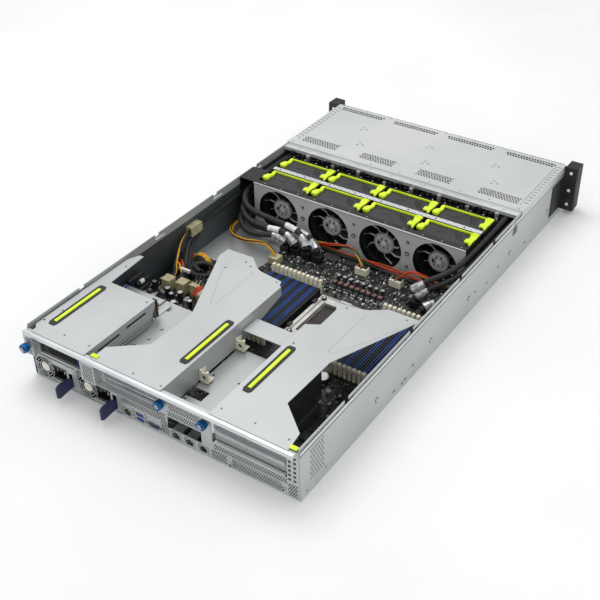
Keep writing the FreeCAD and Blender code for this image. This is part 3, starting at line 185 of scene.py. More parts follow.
board_black = solder_mask("black_solder_mask", "#0d0f10", "#2b2f31")
chip_resin = made_of("black_chip_resin", "#101113", "#1f2123", 0.5, 5, 0, 0.4, 0.15)
coil_core = made_of("grey_ferrite_core", "#2b2c2e", "#3d3e40", 0.5, 4, 0, 0.4, 0.15)
coil_red = made_of("red_brown_coil_cap", "#7c403a", "#a4625a", 0.5, 4, 0, 0.4)
ceramic = made_of("pale_ceramic_part", "#9f9a8d", "#c9c4b6", 0.5, 3, 0, 0.4, 0.05)
can_silver = made_of("aluminium_capacitor_can", "#b9bcbe", "#d9dbdc", 0.3, 5, 0.8, 0.4, 0.05)
battery_steel = made_of("battery_steel", "#cfd1d0", "#e9eae8", 0.25, 9, 0.8, 0.4, 0.05)

# %% [markdown]
# Cables. The signal cables wear a braided black sleeve, whose strands about a millimetre wide are drawn
# as a strong grain. Shield wraps are crinkled foil, labels bare paper and wire jackets glossy PVC. The
# last finish is painted shade: the zinc steel deep inside the cages, where shade falls, and also holes,
# slots, bores and bodies set deep in shade.

# %% Cable finishes
sleeve = made_of("braided_black_sleeve", "#0f0f10", "#2c2d2e", 0.62, 3, 0, 1, 0.8)
foil = made_of("crinkled_shield_foil", "#8d8f90", "#d4d6d6", 0.3, 5, 0.85, 2.2, 0.9)
paper = made_of("bare_white_label", "#d9d9d5", "#f0f0ec", 0.6, 6, 0, 0.5, 0.05)
wire_yellow, wire_orange, wire_red, wire_green, wire_black = [
    made_of(colour + "_wire_jacket", dark, light, roughness, 6, 0, 0.6, 0.05)
    for colour, dark, light, roughness in (
        ("yellow", "#d99a06", "#f2b81c", 0.4), ("orange", "#c8470c", "#e2611c", 0.4),
        ("red", "#a81712", "#cc2a20", 0.4), ("green", "#1d6b34", "#2b8a48", 0.4),
        ("black", "#0d0d0e", "#1c1c1e", 0.42))]
orange_brown = made_of("brown_plug_nylon", "#8a5a3c", "#a87452", 0.45, 5)
# Painted shade for places deep in cages, holes, slots and bores.
deep_painted_shade = made_of("shaded_cage_steel", "#26292a", "#33373a", 0.5, 40, 0.4, 0.8, 0.05)
print("finishes", len(bpy.data.materials))

# %% [markdown]
# The camera was fitted to the photograph from the server's known width and height. It looks down from
# behind the supply side. The image is taken as 600 by 600, so the lens follows from the focal length.

# %% Camera
AZIMUTH, ELEVATION, ROLL = radians(214.380), radians(36.034), -0.0183824
FOCAL_PIXELS, IMAGE_PIXELS, SENSOR_MM = 1025.25, 600, 36
CAMERA_PLACE = (-0.69615, 1.08656, 0.90672)
back = Vector((sin(AZIMUTH) * cos(ELEVATION), -cos(AZIMUTH) * cos(ELEVATION), sin(ELEVATION)))
right = (-back).cross(Vector(Z)).normalized()
up = right.cross(-back)
turned_right = right * cos(ROLL) + up * sin(ROLL)
turned_up = up * cos(ROLL) - right * sin(ROLL)
camera_data = bpy.data.cameras.new("camera")
camera_data.sensor_width = SENSOR_MM
camera_data.lens = FOCAL_PIXELS * SENSOR_MM / IMAGE_PIXELS
camera_data.clip_start = 0.05
camera = linked("camera", camera_data)
camera.matrix_world = Matrix.Translation(CAMERA_PLACE) @ Matrix(
    (turned_right, turned_up, back)).transposed().to_4x4()
bpy.context.scene.camera = camera

# %% [markdown]
# A pale studio: white surroundings for the metal to reflect, one large soft light above and behind,
# and a weaker one at the front. The floor is plain and pale.

# %% Studio
world = bpy.data.worlds.new("studio")
world.use_nodes = True
surroundings = world.node_tree.nodes["Background"].inputs
surroundings["Color"].default_value = linear("#f6f6f6")
surroundings["Strength"].default_value = 0.85
bpy.context.scene.world = world
bpy.context.scene.view_settings.view_transform = "Standard"
for name, place, size, power in (("key_light", (0.7, -0.3, 2.2), 1.5, 20),
                                 ("fill_light", (-1.8, 0.9, 1), 1.4, 5)):
    light = bpy.data.lights.new(name, "AREA")
    light.size = size
    light.energy = power
    lamp = linked(name, light)
    lamp.location = place
    lamp.rotation_euler = (-Vector(place)).to_track_quat("-Z", "Y").to_euler()
floor_mesh = bmesh.new()
bmesh.ops.create_grid(floor_mesh, x_segments=1, y_segments=1, size=4)
floor_data = bpy.data.meshes.new("floor")
floor_mesh.to_mesh(floor_data)
floor_mesh.free()
floor = linked("floor", floor_data)
floor_data.transform(Matrix.Translation((0, 0, -0.0005)))
floor_data.materials.append(made_of("pale_studio_floor", "#f1f2f2", "#f6f7f7", 0.8, 400, 0, 2, 0))

# %% [markdown]
# Trim is built from plain shapes. Block, rod and band add a box, a cylinder and an extruded outline to one
# mesh. Points are written in millimetres, as on a drawing, and turned to metres when the mesh is made.

# %% Shape helpers
def painted(verts, finish):
    """Gives the faces around some vertices one finish number."""
    for face in {f for v in verts for f in v.link_faces}:
        face.material_index = finish
    return verts


def block(shape, low, high, finish=0):
    """Adds a box between two corners in millimetres."""
    size = [b - a for a, b in zip(low, high)]
    centre = [(a + b) / 2 for a, b in zip(low, high)]
    made = bmesh.ops.create_cube(shape, size=1, matrix=Matrix.Translation(Vector(centre) * MM)
                                 @ Matrix.Diagonal((*[s * MM for s in size], 1)))
    return painted(made["verts"], finish)


def rod(shape, centre, axis, radius, length, sides=24, finish=0, top=None):
    """Adds a cylinder, prism or cone about its middle, along a given axis, in millimetres."""
    tilt = Vector(Z).rotation_difference(Vector(axis)).to_matrix().to_4x4()
    made = bmesh.ops.create_cone(shape, cap_ends=True, segments=sides, radius1=radius * MM,
                                 radius2=(radius if top is None else top) * MM, depth=length * MM,
                                 matrix=Matrix.Translation(Vector(centre) * MM) @ tilt)
    return painted(made["verts"], finish)


def band(shape, outline, along, low, high):
    """Extrudes a flat outline along X (0) or Z (2) between two places, in millimetres."""
    corners = [list(point) for point in outline]
    for corner in corners:
        corner.insert(along, low)
    verts = [shape.verts.new(Vector(corner) * MM) for corner in corners]
    grown = bmesh.ops.extrude_face_region(shape, geom=[shape.faces.new(verts)])
    moved = [g for g in grown["geom"] if isinstance(g, bmesh.types.BMVert)]
    bmesh.ops.translate(shape, verts=moved, vec=Vector((X, Y, Z)[along]) * (high - low) * MM)
    bmesh.ops.recalc_face_normals(shape, faces=list({f for v in verts + moved for f in v.link_faces}))


def shift(shape, x, y, z, verts=None):
    """Moves a shape, or some of its vertices, in millimetres."""
    bmesh.ops.translate(shape, verts=verts or shape.verts, vec=Vector((x, y, z)) * MM)

# %% [markdown]
# A mesh becomes an object here. Sheet and moulded parts have small rounded edges that catch the light, so
# a bevel modifier rounds the sharp ones, and the rest is shaded smooth. Each piece rides on one body.

# %% Piece helper
def place_piece(name, shape, finishes, bevel_mm=0, segments=2, body="chassis"):
    """Turns a bmesh into an object that rides on a body, with sharp edges kept and small bevels."""
    for face in shape.faces:
        face.smooth = True
    for edge in shape.edges:
        edge.smooth = len(edge.link_faces) == 2 and edge.calc_face_angle(0) < radians(35)
    data = bpy.data.meshes.new(name)
    shape.to_mesh(data)
    shape.free()
    piece = linked(name, data)
    for finish in finishes:
        data.materials.append(finish)
    if bevel_mm:
        edge_round = piece.modifiers.new("edge_round", "BEVEL")
        edge_round.width = bevel_mm * MM
        edge_round.segments = segments
        edge_round.limit_method = "ANGLE"
        edge_round.angle_limit = radians(40)
        edge_round.use_clamp_overlap = False
        edge_round.harden_normals = False
    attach(piece, body)
    return piece

# %% [markdown]
# Most large pieces are copies of CAD nodes. A copy is merged first, because the CAD mesh has split edges
# that a bevel can't round. Holes are punched by one boolean with all the tools at once, which is far
# quicker than one for each hole. Dress does it all and swaps the copy for its node.

# %% Helpers for copies of CAD nodes
def copied(node):
    """A bmesh of a CAD node's mesh, merged, with flat faces joined into one."""
    shape = bmesh.new()
    shape.from_mesh(frame["nodes"][node].data)
    painted(shape.verts, 0)
    bmesh.ops.remove_doubles(shape, verts=shape.verts, dist=0.00001)
    bmesh.ops.dissolve_limit(shape, angle_limit=radians(1), verts=shape.verts, edges=shape.edges)
    return shape


def evaluated(piece):
    """The mesh that an object shows, with its modifiers and curve settings worked out."""
    return bpy.data.meshes.new_from_object(piece.evaluated_get(bpy.context.evaluated_depsgraph_get()))


def punched(shape, tools):
    """The sheet less every punch tool, worked out by a boolean."""
    parts = []
    for label, mesh in (("sheet", shape), ("tools", tools)):
        data = bpy.data.meshes.new(label)
        mesh.to_mesh(data)
        mesh.free()
        parts.append(linked(label, data))
    cut = parts[0].modifiers.new("punch", "BOOLEAN")
    cut.operation = "DIFFERENCE"
    cut.solver = "EXACT"
    cut.object = parts[1]
    holed = bmesh.new()
    holed.from_mesh(evaluated(parts[0]))
    for part in parts:
        bpy.data.objects.remove(part)
    return holed


def paint(shape, choose):
    """Gives each face the finish number that a rule picks from its middle, in mm, and its normal."""
    for face in shape.faces:
        face.material_index = choose(face.calc_center_median() / MM, face.normal)


def dress(node, finishes, choose=None, tools=None, bevel_mm=0.2, segments=1, shape=None):
    """Replaces a CAD node with its own copy, or with a shape made from it: punched, painted, rounded."""
    shape = copied(node) if shape is None else shape
    if tools is not None:
        shape = punched(shape, tools)
    if choose:
        paint(shape, choose)
    piece = place_piece(node + "_dressed", shape, finishes, bevel_mm, segments, body_of[node])
    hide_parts(node)

# %% [markdown]
# One CAD node often holds many parts in several materials, such as all the connectors. These helpers
# find its separate parts by walking along edges, paint or delete them by size, and punch whole fields of
# holes row by row.

# %% Helpers for parts and fields of holes
def parts_of(shape):
    """The separate closed parts of a bmesh: vertices, lowest and highest corner in millimetres."""
    left = set(shape.verts)
    parts = []
    while left:
        stack = [left.pop()]
        part = []
        while stack:
            vert = stack.pop()
            part.append(vert)
            for edge in vert.link_edges:
                other = edge.other_vert(vert)
                if other in left:
                    left.remove(other)
                    stack.append(other)
        low, high = [Vector([pick(v.co[i] for v in part) for i in range(3)]) / MM for pick in (min, max)]
        parts.append((part, low, high))
    return parts


def paint_parts(shape, choose):
    """Gives each separate part one finish number, picked from its lowest and highest corner; -1 deletes it."""
    for part, low, high in parts_of(shape):
        index = choose(low, high)
        if index < 0:
            bmesh.ops.delete(shape, geom=part, context="VERTS")
        else:
            painted(part, index)
    return shape


def grid_punch(tools, across, up, pitch, size, fixed, axis, sides=4, stagger=False):
    """Adds a field of small square or round punches; the two ranges lie across the given axis."""
    columns, rows = [max(1, int((end - start) / step) + 1) for (start, end), step in zip((across, up), pitch)]
    for j in range(rows):
        for i in range(columns):
            a = across[0] + i * pitch[0] + (pitch[0] / 2 if stagger and j % 2 else 0)
            b = up[0] + j * pitch[1]
            if a > across[1] + 0.01:
                continue
            low = [a - size[0] / 2, b - size[1] / 2]
            high = [a + size[0] / 2, b + size[1] / 2]
            low.insert(axis, fixed[0])
            high.insert(axis, fixed[1])
            if sides == 4:
                block(tools, low, high)
            else:
                centre = [(p + q) / 2 for p, q in zip(low, high)]
                rod(tools, centre, (X, Y, Z)[axis], size[0] / 2, fixed[1] - fixed[0], sides)

# %% [markdown]
# The front cover is flat sheet with a lowered strip at its rear edge. Four blocks of small slots near
# that edge, four near the front and three rows at each side are punched as real holes.

# %% Front cover
EDGE_SLOTS = ((133, 201), (23, 85), (-83, -24), (-201, -134))
FRONT_SLOTS = ((121, 205), (14, 98), (-93, -9), (-203, -119))
COVER_TOP = (83, 88)
tools = bmesh.new()
for across in EDGE_SLOTS:
    grid_punch(tools, across, (-254, -238), (4.9, 4), (3.3, 2.5), COVER_TOP, 2, stagger=True)
for across in FRONT_SLOTS:
    grid_punch(tools, across, (-385, -379), (4.9, 6), (3.3, 4.2), COVER_TOP, 2, stagger=True)
for side in (-1, 1):
    for x, pitch in ((207, 7), (211.5, 9.5), (215, 9.5)):
        across = (side * x - 0.1, side * x + 0.1)
        grid_punch(tools, across, (-380, -240), (4, pitch), (1.8, 2.6), COVER_TOP, 2)
for i in range(20):
    block(tools, (-194 + i * 20, -215.6, 81), (-186 + i * 20, -214.6, 85))
# The top faces of the rear strip are painted highlight, and the walls inside the vents are painted shade.
dress("front_cover", [zinc_cover, bright_zinc_and_painted_highlight, deep_painted_shade], lambda c, n: 1 if c.y > -221.5 and n.z > 0.5 else
      2 if abs(n.z) < 0.5 and abs(c.x) < 217.5 and -391 < c.y < -235 and c.z > 84.5 else 0, tools)
marks = bmesh.new()
for x, y in ((124, -330), (101, -278), (-5, -330), (-25, -278), (-128, -330), (-150, -278)):
    for dx, dy in ((0, 0), (9, 4), (8, -5)):
        block(marks, (x + dx - 2.2, y + dy - 1, 86.1), (x + dx + 2.2, y + dy + 1, 86.45))
for x in (210, 160, 110, 55, 0, -55, -110, -160, -210):
    for y in (-391.5, -226):
        rod(marks, (x, y, 86.3), Z, 1.6, 0.5, 10, top=1.2)
place_piece("front_cover_stamped_marks", marks, [screw_steel])

# %% [markdown]
# The chassis walls: the outside is bright zinc, the left wall's inner face is painted shade. Near the
# rear, the right wall has a block of small vent holes with a black sheet behind them as painted shade,
# and pan-head rivets ringed with painted shade run along both walls. The rear panel has fields of small
# holes with painted shadow sheets behind them.

# %% Chassis
tools = bmesh.new()
grid_punch(tools, (345, 374), (20, 67), (4.6, 4.6), (3.2, 3.2), (-221, -216.5), 0, 6, stagger=True)
# The left wall's inner face below its top is painted shade.
dress("chassis_base", [zinc, zinc_painted_shade], lambda c, n: 1 if c.x > 215 and n.x < -0.5 and c.z < 70 else 0, tools)
trim = bmesh.new()
# Painted shade: the black sheet behind the vent holes, rings around the rivet heads, dark slots, dots and a
# line along each wall. Painted highlight: the brighter band along the top of each wall.
block(trim, (-217.7, 340, 17), (-217.4, 379, 70), 1)
for side in (-1, 1):
    for y in (-333, -187, -45, 72, 219):
        rod(trim, (side * 219.2, y, 29), (side, 0, 0), 4.4, 0.5, 24, 2)
        rod(trim, (side * 219.9, y, 29), (side, 0, 0), 3.6, 1.9, 24, 0, top=1.6)
    strips = [(219, 0.15, y - 3, y + 3, z - 1.2, z + 1.2, 1) for y, z in (
        (-245, 17), (-145, 27), (-106, 20), (-66, 28), (123, 20), (143, 10), (151, 8), (174, 11))]
    strips += [(219.3, 0.35, -190, 395, 74.6, 79.6, 3), (219.3, 0.35, -386, -196, 74.6, 79.6, 3),
               (219.1, 0.15, -394, 395, 72.2, 72.9, 2), (219.3, 0.5, -204, -190, 58, 70, 2)]
    for x, half, y0, y1, z0, z1, finish in strips:
        block(trim, (side * x - half, y0, z0), (side * x + half, y1, z1), finish)
    for i in range(24):
        rod(trim, (side * 218.2, -380 + i * 33, 79), (side, 0, 0), 0.9, 1, 8, 1)
for y, z in ((376, 76), (340, 12), (382, 8)):
    rod(trim, (-219, y, z), X, 1.4, 0.5, 10, 1)
place_piece("wall_trim_with_painted_shade_and_highlight", trim, [zinc, black_coat_and_painted_shade, zinc_painted_shade, bright_zinc_and_painted_highlight], 0.25)

# %% [markdown]
# The rear panel is punched with fields of small vents. They could be an image, but real holes stay
# sharp up close. Six sides keep the mesh small. Painted shadow sheets behind them and painted shade on
# the holes' walls stand in for the dark depth of a cage, and the folded lip's top is painted highlight.

# %% Rear panel
PANEL_Y, LIP_Y = (392, 396.5), (403, 407.5)
# Each field of vents: its range across, its range up and the depth that its tools cut.
REAR_FIELDS = (
    ((95, 113), (46.5, 72.5), LIP_Y), ((205, 214.5), (46.5, 52.5), LIP_Y),
    ((205, 214.5), (65.5, 72.5), LIP_Y),
    ((-73.5, -19.5), (40.5, 48), PANEL_Y), ((-73.5, -19.5), (66.5, 72), PANEL_Y),
    ((-71, -23), (51, 63.5), PANEL_Y), ((-14, 57.5), (26, 39.5), PANEL_Y),
    ((18.5, 21), (6, 23), PANEL_Y), ((-18.5, -6), (6, 23.5), PANEL_Y),
    ((39, 42), (6, 23), PANEL_Y),
    ((-199, -91), (21, 27), PANEL_Y), ((-109, -87), (4.5, 18.5), PANEL_Y),
    ((-192, -120), (4.5, 16), PANEL_Y), ((-214, -201.5), (4, 24), PANEL_Y))
tools = bmesh.new()
painted_shadow_sheets = bmesh.new()
for across, up, through in REAR_FIELDS:
    grid_punch(tools, across, up, (3.3, 2.9), (2.5, 2.5), through, 1, 6, stagger=True)
    if through == LIP_Y:
        block(painted_shadow_sheets, (across[0] - 1.2, 403.3, up[0] - 1), (across[1] + 0.4, 403.6, up[1] + 1))
    elif across[1] - across[0] > 12:
        block(painted_shadow_sheets, (across[0] - 1.2, 392.7, up[0] - 1.2), (across[1] + 1.2, 393, up[1] + 1))


def rear_finish(c, n):
    """Painted shade on the walls inside the small holes, painted highlight on the folded lip, zinc elsewhere.
    """
    if abs(n.y) < 0.5 and any(x[0] - 1.4 < c.x < x[1] + 1.4 and z[0] - 1.4 < c.z < z[1] + 1.4
                              and y[0] < c.y < y[1] for x, z, y in REAR_FIELDS):
        return 2
    return 1 if c.y > 399 and c.z > 73.5 and c.x < 200 else 0


dress("rear_panel", [zinc, bright_zinc_and_painted_highlight, deep_painted_shade], rear_finish, tools, bevel_mm=0)
place_piece("rear_panel_shadow_sheets", painted_shadow_sheets, [deep_painted_shade])
print("vent fields in the rear panel", len(REAR_FIELDS))

# %% [markdown]
# The fan cage. Its sheet is black, with a bright perforated bar between the two rows of fans. The wall
# behind the fans is grey, with painted highlight on its top edge and painted shade on the edges of its
# openings and holes.

# %% Fan cage and wall
dress("fan_cage", [black_coat_and_painted_shade])
# The edges of the wall's openings and holes are painted shade, in black ABS.
dress("fan_wall", [wall_grey, black_abs_and_painted_shade, black_coat_and_painted_shade], lambda c, n: 2 if c.y < -150 else
      1 if abs(n.y) < 0.3 and c.z < 80 and abs(c.x) < 180 else 0)
# A bright strip with bright dots along the wall's top edge is painted highlight.
edge = bmesh.new()
block(edge, (-192.5, -76.8, 82), (186, -75.6, 84.2))
for i in range(12):
    rod(edge, (-184 + i * 32, -82.5, 84.1), Z, 0.9, 0.3, 8)
place_piece("fan_wall_bright_top_edge", edge, [bright_zinc_and_painted_highlight], 0.2, 1)
bar = bmesh.new()
block(bar, (-192, -138.4, 83.7), (186, -129.9, 84.5))
holes = bmesh.new()
for i in range(62):
    big = i % 8 == 4
    y = -134.2 if big else -136 if i % 2 else -132.4
    rod(holes, (-187 + i * 6, y, 84), Z, 1.9 if big else 1, 3, 8)
place_piece("fan_cage_perforated_bar", punched(bar, holes), [bright_zinc_and_painted_highlight], 0.15, 1)
grommets = bmesh.new()
for i in range(3):
    for z, radius in ((22, 2.2), (46, 3.6), (66, 2.2)):
        rod(grommets, (91.5 - 95 * i, -76.3, z), Y, radius, 0.9, 20)
        rod(grommets, (91.5 - 95 * i, -75.95, z), Y, radius * 0.55, 0.4, 16, 1)
place_piece("fan_wall_grommets", grommets, [black_abs_and_painted_shade, wall_grey], 0.15, 1)

# %% [markdown]
# The eight fan modules. The CAD frame, struts and lid are kept, and slots are cut in the lid. The plain
# handle is swapped for a moulded one: a thin bar with a flat finger lever at one end and a taller arch at
# the other, all in one lime nylon. The motor plate gets its rings and marks, which spell nothing.

# %% Fan modules
FAN_X = [139 - 95 * i for i in range(4)]
FAN_ROWS = (-138.7, -88.6)
FAN_AXIS_Z = 41.5
LID_TOP = 80.6
FISH = [(36, 0), (41.5, 0), (42, 6), (40.5, 11), (42.5, 16), (46, 24), (45, 30), (37, 31), (35, 26),
        (36, 18), (34.5, 11), (36.5, 5)]
ARCH = [(0, -1), (4, -1), (5, 1.6), (8.5, 2.8), (13, 1.4), (17, 0.2), (20.5, 0.3), (22.5, 3), (26.5, 3.6),
        (29, 2.2), (29.4, -6), (33, -6), (33.4, 3), (30.8, 6), (21, 6.2), (15, 4.4), (9, 5.4),
        (2, 5.4), (0, 3.6)]


def fan_finish(x, y1):
    """Picks a fan module's finishes: black frame, grey struts, pale motor plate, and painted shade in the bore
    and slots and on the struts' sides.
    """
    def choose(c, n):
        reach = hypot(c.x - x, c.z - FAN_AXIS_Z)
        if c.y > y1 - 3.2 and reach < 18.2 and (n.y > 0.5 or reach > 17):
            return 2
        if c.y > y1 - 3.2 and reach < 36:
            return 1 if n.y > 0.8 or n.z > 0.5 else 4
        if reach < 39:
            return 4
        return 3 if c.z > 80.3 else 4 if c.z > 79 and abs(c.x - x) < 38 else 0
    return choose


for number in range(1, 9):
    x = FAN_X[(number - 1) % 4]
    y1 = FAN_ROWS[(number - 1) // 4]
    y0 = y1 - 39
    body = "fan_%d" % number
    shape = copied("fan_module_%d" % number)
    paint_parts(shape, lambda low, high: -1 if low.z > LID_TOP - 0.1 else 0)
    slots = bmesh.new()
    for i in range(3):
        a, b = x - 15 - i * 5, y0 + 16 + i * 1.5
        made = block(slots, (a - 9, b - 0.9, 79.4), (a + 9, b + 0.9, 84))
        bmesh.ops.rotate(slots, verts=made, cent=Vector((a, b, 80)) * MM,
                         matrix=Matrix.Rotation(radians(-62), 3, "Z"))
        block(slots, (x + 2 + i * 4, y0 + 15 + i * 2.6, 80), (x + 9 + i * 4, y0 + 16.2 + i * 2.6, 84))
    shape = punched(shape, slots)
    paint(shape, fan_finish(x, y1))
    # Faces across the frame's front and back outside the bore take the painted-shade finish too.
    for face in shape.faces:
        far = max(hypot(v.co.x / MM - x, v.co.z / MM - FAN_AXIS_Z) for v in face.verts)
        if abs(face.normal.y) > 0.8 and far > 38:
            face.material_index = 4
    dress("fan_module_%d" % number, [black_abs_and_painted_shade, strut_grey, hub_grey, lid_abs, deep_painted_shade], bevel_mm=0.25,
          shape=shape)
    grip = bmesh.new()
    block(grip, (-36, 0.1, 0), (38, 1.9, 3.4))
    band(grip, FISH, 2, 0, 3.2)
    band(grip, FISH[4:10], 2, 3, 4.8)
    band(grip, ARCH, 0, -46.4, -42.2)
    block(grip, (-44, 22, 3), (-34.5, 31.5, 5.8))
    block(grip, (-44, 0.3, 0), (-35, 5, 4.8))
    band(grip, [(-36, 4), (-33, 4), (-36, 13), (-35.5, 24), (-42.6, 24), (-42.6, 4)], 2, 0, 3.4)
    shift(grip, x, y0, LID_TOP)
    place_piece("fan_handle_%d" % number, grip, [lime], 0.5, 2, body)
    plate = bmesh.new()
    for y, radius, finish in ((0.1, 16.8, 0), (0.25, 4.6, 1), (0.15, 13.6, 1), (0.2, 12.4, 0)):
        rod(plate, (0, y, 0), Y, radius, 0.5, 24 if radius < 5 else 40, finish)
    for i in range(5):
        block(plate, (-9.5 + i * 4, 0.2, 5.2), (-7.3 + i * 4, 0.6, 8.6), 3 if i % 2 else 1)
        block(plate, (-8.5 + i * 3.6, 0.2, -8.4), (-6.7 + i * 3.6, 0.6, -5.8), 1 if i % 2 else 3)
    block(plate, (6.2, 0.2, -3.2), (11, 0.6, 2.4), 3)
    shift(plate, x, y1, FAN_AXIS_Z)
    place_piece("fan_motor_plate_%d" % number, plate, [hub_grey, strut_grey, wall_grey, coil_core], 0.1, 1,
                body)
    dress("fan_rotor_%d" % number, [black_abs_and_painted_shade])
print("fan modules", number)

# %% [markdown]
# The three lift-out brackets. Their sheet is the same zinc-coated steel as the covers. The handle frames
# are black, the grips lime, and the plastic clips on the channel wall are ivory.

# %% Brackets
def bracket_finish(low, high):
    """Picks a finish for each part of a bracket from its size."""
    size = high - low
    if size.x > 30 and size.y > 60 and high.z > 79:
        return 0
    if abs(size.x - 13) < 0.5:
        return 1
    if abs(size.x - 5) < 0.5:
        return 2
    return -1 if size.y < 25 else 4


# Each field of holes: its range across and up, the pitch, the size of a hole and its sides.
SLOT_COVERS = {
    "riser_left": (),
    "riser_center": (((-2, 86), (57.5, 70), (3, 2.7), (2.2, 2.2), 6),
                     ((-2, 86), (48.6, 53), (3.4, 4.4), (1.7, 4), 4)),
    "riser_right": (((-196, -94), (54.5, 70), (3, 2.7), (2.2, 2.2), 6),
                    ((-196, -94), (34, 46.5), (3, 2.7), (1.9, 1.9), 6))}
for node, fields in SLOT_COVERS.items():
    tools = bmesh.new()
    for across, up, pitch, size, sides in fields:
        grid_punch(tools, across, up, pitch, size, (388, 392), 1, sides, stagger=sides == 6)
    if not fields:
        for y0, y1, z in ((278, 317, 69), (331, 373, 67)):
            block(tools, (111, y0, z), (115.5, y1, z + 4))
    dress(node, [zinc, black_abs_and_painted_shade, lime, ivory, board_black], tools=tools, bevel_mm=0.25, segments=2,
          shape=paint_parts(copied(node), bracket_finish))


def bead(side, points, width=1.6, height=0.45):
    """A stamped bead on a bracket: a low rounded ridge along straight runs, in millimetres."""
    ridge = bmesh.new()
    for (xa, ya), (xb, yb) in zip(points, points[1:] + points[:1]):
        made = rod(ridge, (0, 0, 0), X, width / 2, hypot(xb - xa, yb - ya) + width * 0.6, 10)
        bmesh.ops.scale(ridge, verts=made, vec=(1, 1, 2 * height / width))
        bmesh.ops.rotate(ridge, verts=made, cent=(0, 0, 0),
                         matrix=Matrix.Rotation(atan2(yb - ya, xb - xa), 3, "Z"))
        shift(ridge, (xa + xb) / 2, (ya + yb) / 2, 80, made)
    place_piece("riser_%s_bead" % side, ridge, [zinc], body="bracket_" + side)


bead("center", [(88, 132), (84, 129), (42, 129), (38, 132), (38, 216), (41, 221), (46, 219)])
bead("right", [(-148, 129), (-153, 127), (-196, 130), (-199, 134), (-175, 186), (-155, 222), (-149, 224),
               (-146, 218)])

# %% [markdown]
# Trim on the brackets: pan-head screws, lime release tabs, and ivory clips with a round hole that hold
# cables in the channel. The CAD leaves them out, so blocks and rods make them, and they ride along.

# %% Screws, tabs and clips on the brackets
# The black hexagon on each screw head is painted shade in its recess.
for side, spots in (
        ("left", ((120, 380), (163, 381), (120, 266), (203, 215), (204, 342))),
        ("center", ((63, 113), (51, 119), (80, 140), (-3, 131), (-10, 391), (35, 391), (-6, 240))),
        ("right", ((-98, 383), (-147, 382), (-196, 383), (-118, 130), (-200, 110), (-100, 232)))):
    heads = bmesh.new()
    for x, y in spots:
        rod(heads, (x, y, 80.1), Z, 1.7, 0.35, 14)
        rod(heads, (x, y, 80.2), Z, 1.7 * 0.55, 0.3, 6, 1)
    place_piece("riser_%s_screws" % side, heads, [screw_steel, black_coat_and_painted_shade], body="bracket_" + side)
for side, low_x, high_x in (("center", 93, 105), ("right", -214.5, -203)):
    tab = bmesh.new()
    block(tab, (low_x, 388.5, 80), (high_x, 395, 81.6))
    place_piece(side + "_release_tab", tab, [lime], 0.9, 3, "bracket_" + side)
# A black disc sunk in each clip's round hole is painted shade.
clips = bmesh.new()
for y in (241, 319):
    block(clips, (-17, y - 7, 44.4), (-15.2, y + 5.2, 59.6))
    block(clips, (-29.6, y - 7, 44.2), (-15.4, y + 6.4, 45.8))
    plate = bmesh.new()
    block(plate, (-30, y + 3.4, 44.4), (-15.2, y + 6, 59.6))
    hole = bmesh.new()
    rod(hole, (-22.8, y + 4.7, 51.6), Y, 3.1, 6, 20)
    place_piece("channel_clip_plate_%d" % y, punched(plate, hole), [ivory], 0.3, 2, "bracket_center")
    for x in (-28.4, -18):
        block(clips, (x - 1.6, y + 2.6, 58.8), (x + 1.6, y + 6.4, 62.6))
    rod(clips, (-22.8, y + 4.2, 51.6), Y, 3.2, 0.6, 20, 1)
place_piece("channel_clips", clips, [ivory, black_nylon_and_painted_shade], 0.3, 2, "bracket_center")
# On the left bracket's side, black sheets in its two slots, a row of small black slots and a dark line are
# painted shade.
side = bmesh.new()
for y0, y1, z in ((277, 318, 68.6), (330, 374, 66.6)):
    block(side, (114.3, y0, z), (114.8, y1, z + 4.8))
for i in range(26):
    block(side, (112.85, 265 + i * 4.4, 51), (113.1, 267.4 + i * 4.4, 53.2))
block(side, (112.9, 262, 56.4), (113.1, 384, 57), 3)
block(side, (114, 251.5, 50), (121, 257.8, 78))
block(side, (116.5, 246, 57), (127, 251.5, 64), 1)
block(side, (113.6, 249, 65), (117, 251.6, 70), 2)
place_piece("riser_left_side_fittings", side, [black_abs_and_painted_shade, white_nylon, orange_brown, zinc_painted_shade], 0.2, 1,
            "bracket_left")

# %% [markdown]
# Stamped marks on the fixed sheet below the brackets: lances with a crescent of painted shadow, a raised
# step and dark dots. Each is a thin piece laid on the sheet, which is simpler than cutting the sheet for
# something so shallow.

# %% Marks on the ceiling and tray
# Each lance is a zinc disc over a slightly offset black disc, whose crescent is painted shadow.
lances = bmesh.new()
for x, y in ((96, 268), (97, 294), (106, 314)):
    rod(lances, (x, y, 44.3), Z, 2.6, 0.3, 20, 1)
    rod(lances, (x + 1, y - 1.1, 44.4), Z, 2.5, 0.5, 20)
place_piece("ceiling_lances", lances, [zinc, black_coat_and_painted_shade])
capsule = bmesh.new()
block(capsule, (118.5, 218, 43.6), (129, 249, 45.4))
place_piece("ceiling_stamped_step", capsule, [zinc], 1.4, 4)
dots = bmesh.new()
for x, y, z in ((-19, 360, 41.3), (-22, 304, 41.3), (210, 371, 80.1), (-60, 300, 41.3), (-84, 340, 41.3)):
    rod(dots, (x, y, z), Z, 1.6, 0.3, 14)
place_piece("tray_dots", dots, [black_coat_and_painted_shade])

# %% [markdown]
# The cables. Each follows the route that the CAD model gives it: the same points steer a NURBS curve of
# order 3, which bends as softly as a stiff cable does. Thick signal cables wear a black braid, with paper
# labels and foil shield wraps as short, wider stretches of the same curve. The wires that leave the fans
# and the loops over the power board follow the photo.

